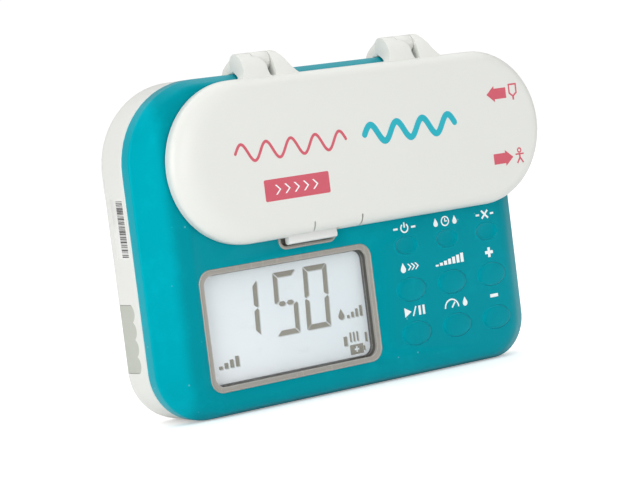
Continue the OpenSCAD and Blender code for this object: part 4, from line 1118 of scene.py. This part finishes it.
# ---------------------------------------------------------------------------
# Sides: a scalloped finger grip let into each wall, a printed strip of plain
# bars on the left, and the charging socket on the right.
# ---------------------------------------------------------------------------
grip_soft = moulded("grip_soft", shade(186, 190, 180), 0.55, 0.04, 0.25, rub=0.1)
pads = []
for s in (-1, 1):
    wall = skin([case_ring(0.08, part_y)] + back_rings(0.08, back_round, back_y - 0.08))
    pad = across(grip_outline(0.12), s * (half_w - 0.76), s * (half_w + 1))
    pads.append(softened(carve(pad, [wall], "INTERSECT"), 0.2, 2, 40))
joined = bmesh.new()
for pad in pads:
    joined.from_mesh(pad)
both = bpy.data.meshes.new("both")
joined.to_mesh(both)
joined.free()
fit("side_grip_pads", both, grip_soft, "case", "grip_rubber", "side_grips", smooth=40)

strip_lo, strip_hi = reach("serial_label")
strip_tree, strip, strip_end = group(
    "strip_bars", [("Count", "Int", 35), ("Pitch", "Float", 0.46), ("Length", "Float", 3.6),
                   ("Thick", "Float", 0.06), ("Seed", "Int", 7)])
stood = spaced(strip, 2)
one_bar = stood.node("GeometryNodeMeshCube", {}, {"Size": strip["Thick"].node(
    "ShaderNodeCombineXYZ", {}, {0: strip["Thick"], 1: strip["Length"], 2: strip["Pitch"] * 0.5})})
wide = stood.node("FunctionNodeRandomValue", {"data_type": "FLOAT"}, {2: 0.45, 3: 1.75, "Seed": strip["Seed"]}, out=1)
bars = stood.node("GeometryNodeInstanceOnPoints", {}, {
    "Points": stood, "Instance": one_bar, "Scale": wide.node("ShaderNodeCombineXYZ", {}, {0: 1.0, 1: 1.0, 2: wide})})
close(strip, bars, strip_end)
ink_black = ink("ink_black", shade(48, 48, 50))
bar_start = (-half_w - 0.02, part_y + 3.7, strip_lo.z + 0.6)
code = grown(strip_tree, [bar_start], ink_black, Count=35, Pitch=0.46, Length=3.6, Thick=0.06, Seed=7)
fit("strip_bars", code, ink_black, "case", "label_paper")
clear_film = moulded("clear_film", shade(228, 229, 225), 0.22, 0.01, 0.02, coat=0.5)
strip_mesh = block(-half_w - 0.02, -half_w + 0.2, strip_lo.y, strip_hi.y, strip_lo.z, strip_hi.z)
fit("strip_film", softened(strip_mesh, 0.015, 2), clear_film, "case", "label_paper", "serial_label")

socket_black = moulded("socket_black", shade(38, 39, 41), 0.4, 0.08, 0.12, rub=0.06)
dress(socket_black, "charge_port", "air_sensor", "speaker")
contact_tree, contact, contact_end = group(
    "contact_row", [("Count", "Int", 3), ("Pitch", "Float", 3.0), ("Radius", "Float", 0.5)])
spread = spaced(contact, 2)
stud = spread.node("GeometryNodeMeshCylinder", {}, {"Vertices": 20, "Radius": contact["Radius"], "Depth": 3.2})
studs = stud.node("GeometryNodeInstanceOnPoints", {}, {
    "Points": spread, "Instance": stud, "Rotation": (0.0, math.pi / 2, 0.0)})
close(contact, studs, contact_end)
port_y, port_z = (port_lo.y + port_hi.y) / 2, (port_lo.z + port_hi.z) / 2
contacts = grown(contact_tree, [(half_w - 3.6, port_y, port_z - 3.0)], brass, Count=3, Pitch=3.0, Radius=0.5)
fit("port_contacts", softened(contacts, 0.12, 2), brass, "case", "brass")

# ---------------------------------------------------------------------------
# Back: four steel cap screws in their wells, and the brass insert of the pole
# clamp in the middle of its channel.
# ---------------------------------------------------------------------------
screw_tree, screw, screw_end = group(
    "cap_screws", [("Head radius", "Float", 2.6), ("Head height", "Float", 1.2), ("Socket radius", "Float", 1.0)])
head = screw["Head radius"].node("GeometryNodeMeshCylinder", {}, {
    "Vertices": 40, "Radius": screw["Head radius"], "Depth": screw["Head height"]})
hexagon = head.node("GeometryNodeMeshCylinder", {}, {"Vertices": 6, "Radius": screw["Socket radius"], "Depth": 1.4})
lifted = head.node("GeometryNodeTransform", {}, {"Geometry": hexagon, "Translation": (0.0, 0.0, 0.7)})
drilled_head = head.node("GeometryNodeMeshBoolean", {"operation": "DIFFERENCE"}, {0: head, 1: lifted})
heads = head.node("GeometryNodeInstanceOnPoints", {}, {
    "Points": screw["Geometry"], "Instance": drilled_head, "Rotation": (-math.pi / 2, 0.0, 0.0)})
close(screw, heads, screw_end)
head_places = [(x, back_y - 1.0, z) for x, z in screw_places]
screw_heads = grown(screw_tree, head_places, steel, Head_radius=2.6, Head_height=1.2, Socket_radius=1.0)
fit("case_screw_heads", softened(screw_heads, 0.18, 3, 40), steel, "case", "steel", smooth=35)
dress(steel, "case_screws")
dress(brass, "clamp_insert")

# ---------------------------------------------------------------------------
# Pump bay behind the door: a moulded tray, the rotor with its three rollers,
# two pressure sensors and the bubble sensor round the inlet channel.
# ---------------------------------------------------------------------------
dress(tray_grey, "pump_tray")
roller_nylon = moulded("roller_nylon", shade(232, 232, 226), 0.3, 0.02, 0.05, coat=0.1)
dress(roller_nylon, "rotor_hub", "roller_1", "roller_2", "roller_3")
dress(steel, "roller_pins", "rotor_shaft", "pressure_sensors", "gear_plate")
dress(steel, "idler_post", "motor_can", "motor_pinion")
dress(brass, "rotor_gear", "idler_gear", "rotor_bush_front", "rotor_bush_rear")
hub_lo, hub_hi = reach("rotor_hub")
hub_x, hub_z = (hub_lo.x + hub_hi.x) / 2, (hub_lo.z + hub_hi.z) / 2


def rib_row(name):
    """Tree for a row of straight ribs that stand along X and lie one beside another."""
    tree, wires, end = group(name, [("Count", "Int", 5), ("Pitch", "Float", 3.0), ("Length", "Float", 8.0),
                                    ("Width", "Float", 0.8), ("Height", "Float", 0.6)])
    laid = spaced(wires, 0)
    rib = laid.node("GeometryNodeMeshCube", {}, {"Size": laid.node(
        "ShaderNodeCombineXYZ", {}, {0: wires["Width"], 1: wires["Height"], 2: wires["Length"]})})
    ribs = laid.node("GeometryNodeInstanceOnPoints", {}, {"Points": laid, "Instance": rib})
    close(wires, ribs, end)
    return tree


ribs_tree = rib_row("stiffening_ribs")
floor_y = tray_hi.y - 1.4
rib_shape = {"Width": 0.8, "Height": 0.9}
tray_start, liner_start = (10.0, floor_y - 0.2, bay_mid_z), (35.0, reach("door_liner")[1].y - 0.2, bay_mid_z)
tray_ribs = grown(ribs_tree, [tray_start], tray_grey, Count=8, Pitch=3.0, Length=9.0, **rib_shape)
fit("tray_ribs", softened(tray_ribs, 0.2, 2), tray_grey, "case", "tray_plastic")
liner_ribs = grown(ribs_tree, [liner_start], tray_grey, Count=6, Pitch=3.4, Length=14.0, **rib_shape)
fit("liner_ribs", softened(liner_ribs, 0.2, 2), tray_grey, "door", "tray_plastic")
cap_rings = [ring(disc(hub_x, hub_z, r, 48), y) for r, y in (
    (3.4, hub_lo.y + 0.3), (3.4, hub_lo.y - 0.1), (3.1, hub_lo.y - 0.35),
    (1.6, hub_lo.y - 0.45), (0.9, hub_lo.y - 0.2))]
fit("rotor_cap", skin(cap_rings), teal_soft, "rotor", "teal_cover")
turn_marks = arc(hub_x, hub_z, 4.4, 5.0, 200, 250, 10) + arc(hub_x, hub_z, 4.4, 5.0, 20, 70, 10)
for a in (math.radians(76), math.radians(256)):
    tip_x, tip_z = hub_x + 4.7 * math.cos(a), hub_z + 4.7 * math.sin(a)
    turns = [a + math.pi / 2 + t for t in (0.0, 2.1, 4.2)]
    turn_marks.append([(tip_x + math.cos(t), tip_z + math.sin(t)) for t in turns])
fit("rotor_turn_marks", film(turn_marks, hub_lo.y + 0.01, print_thick), ink_teal, "rotor", "label_paper")

# ---------------------------------------------------------------------------
# Inside the case: the wrapped battery pack and the flat cable between boards.
# ---------------------------------------------------------------------------
dress(moulded("cell_wrap", shade(58, 92, 150), 0.28, 0.05, 0.08, coat=0.3), "battery_pack")
dress(moulded("flex_film", shade(206, 150, 70), 0.3, 0.05, 0.05, coat=0.2), "ribbon_cable")
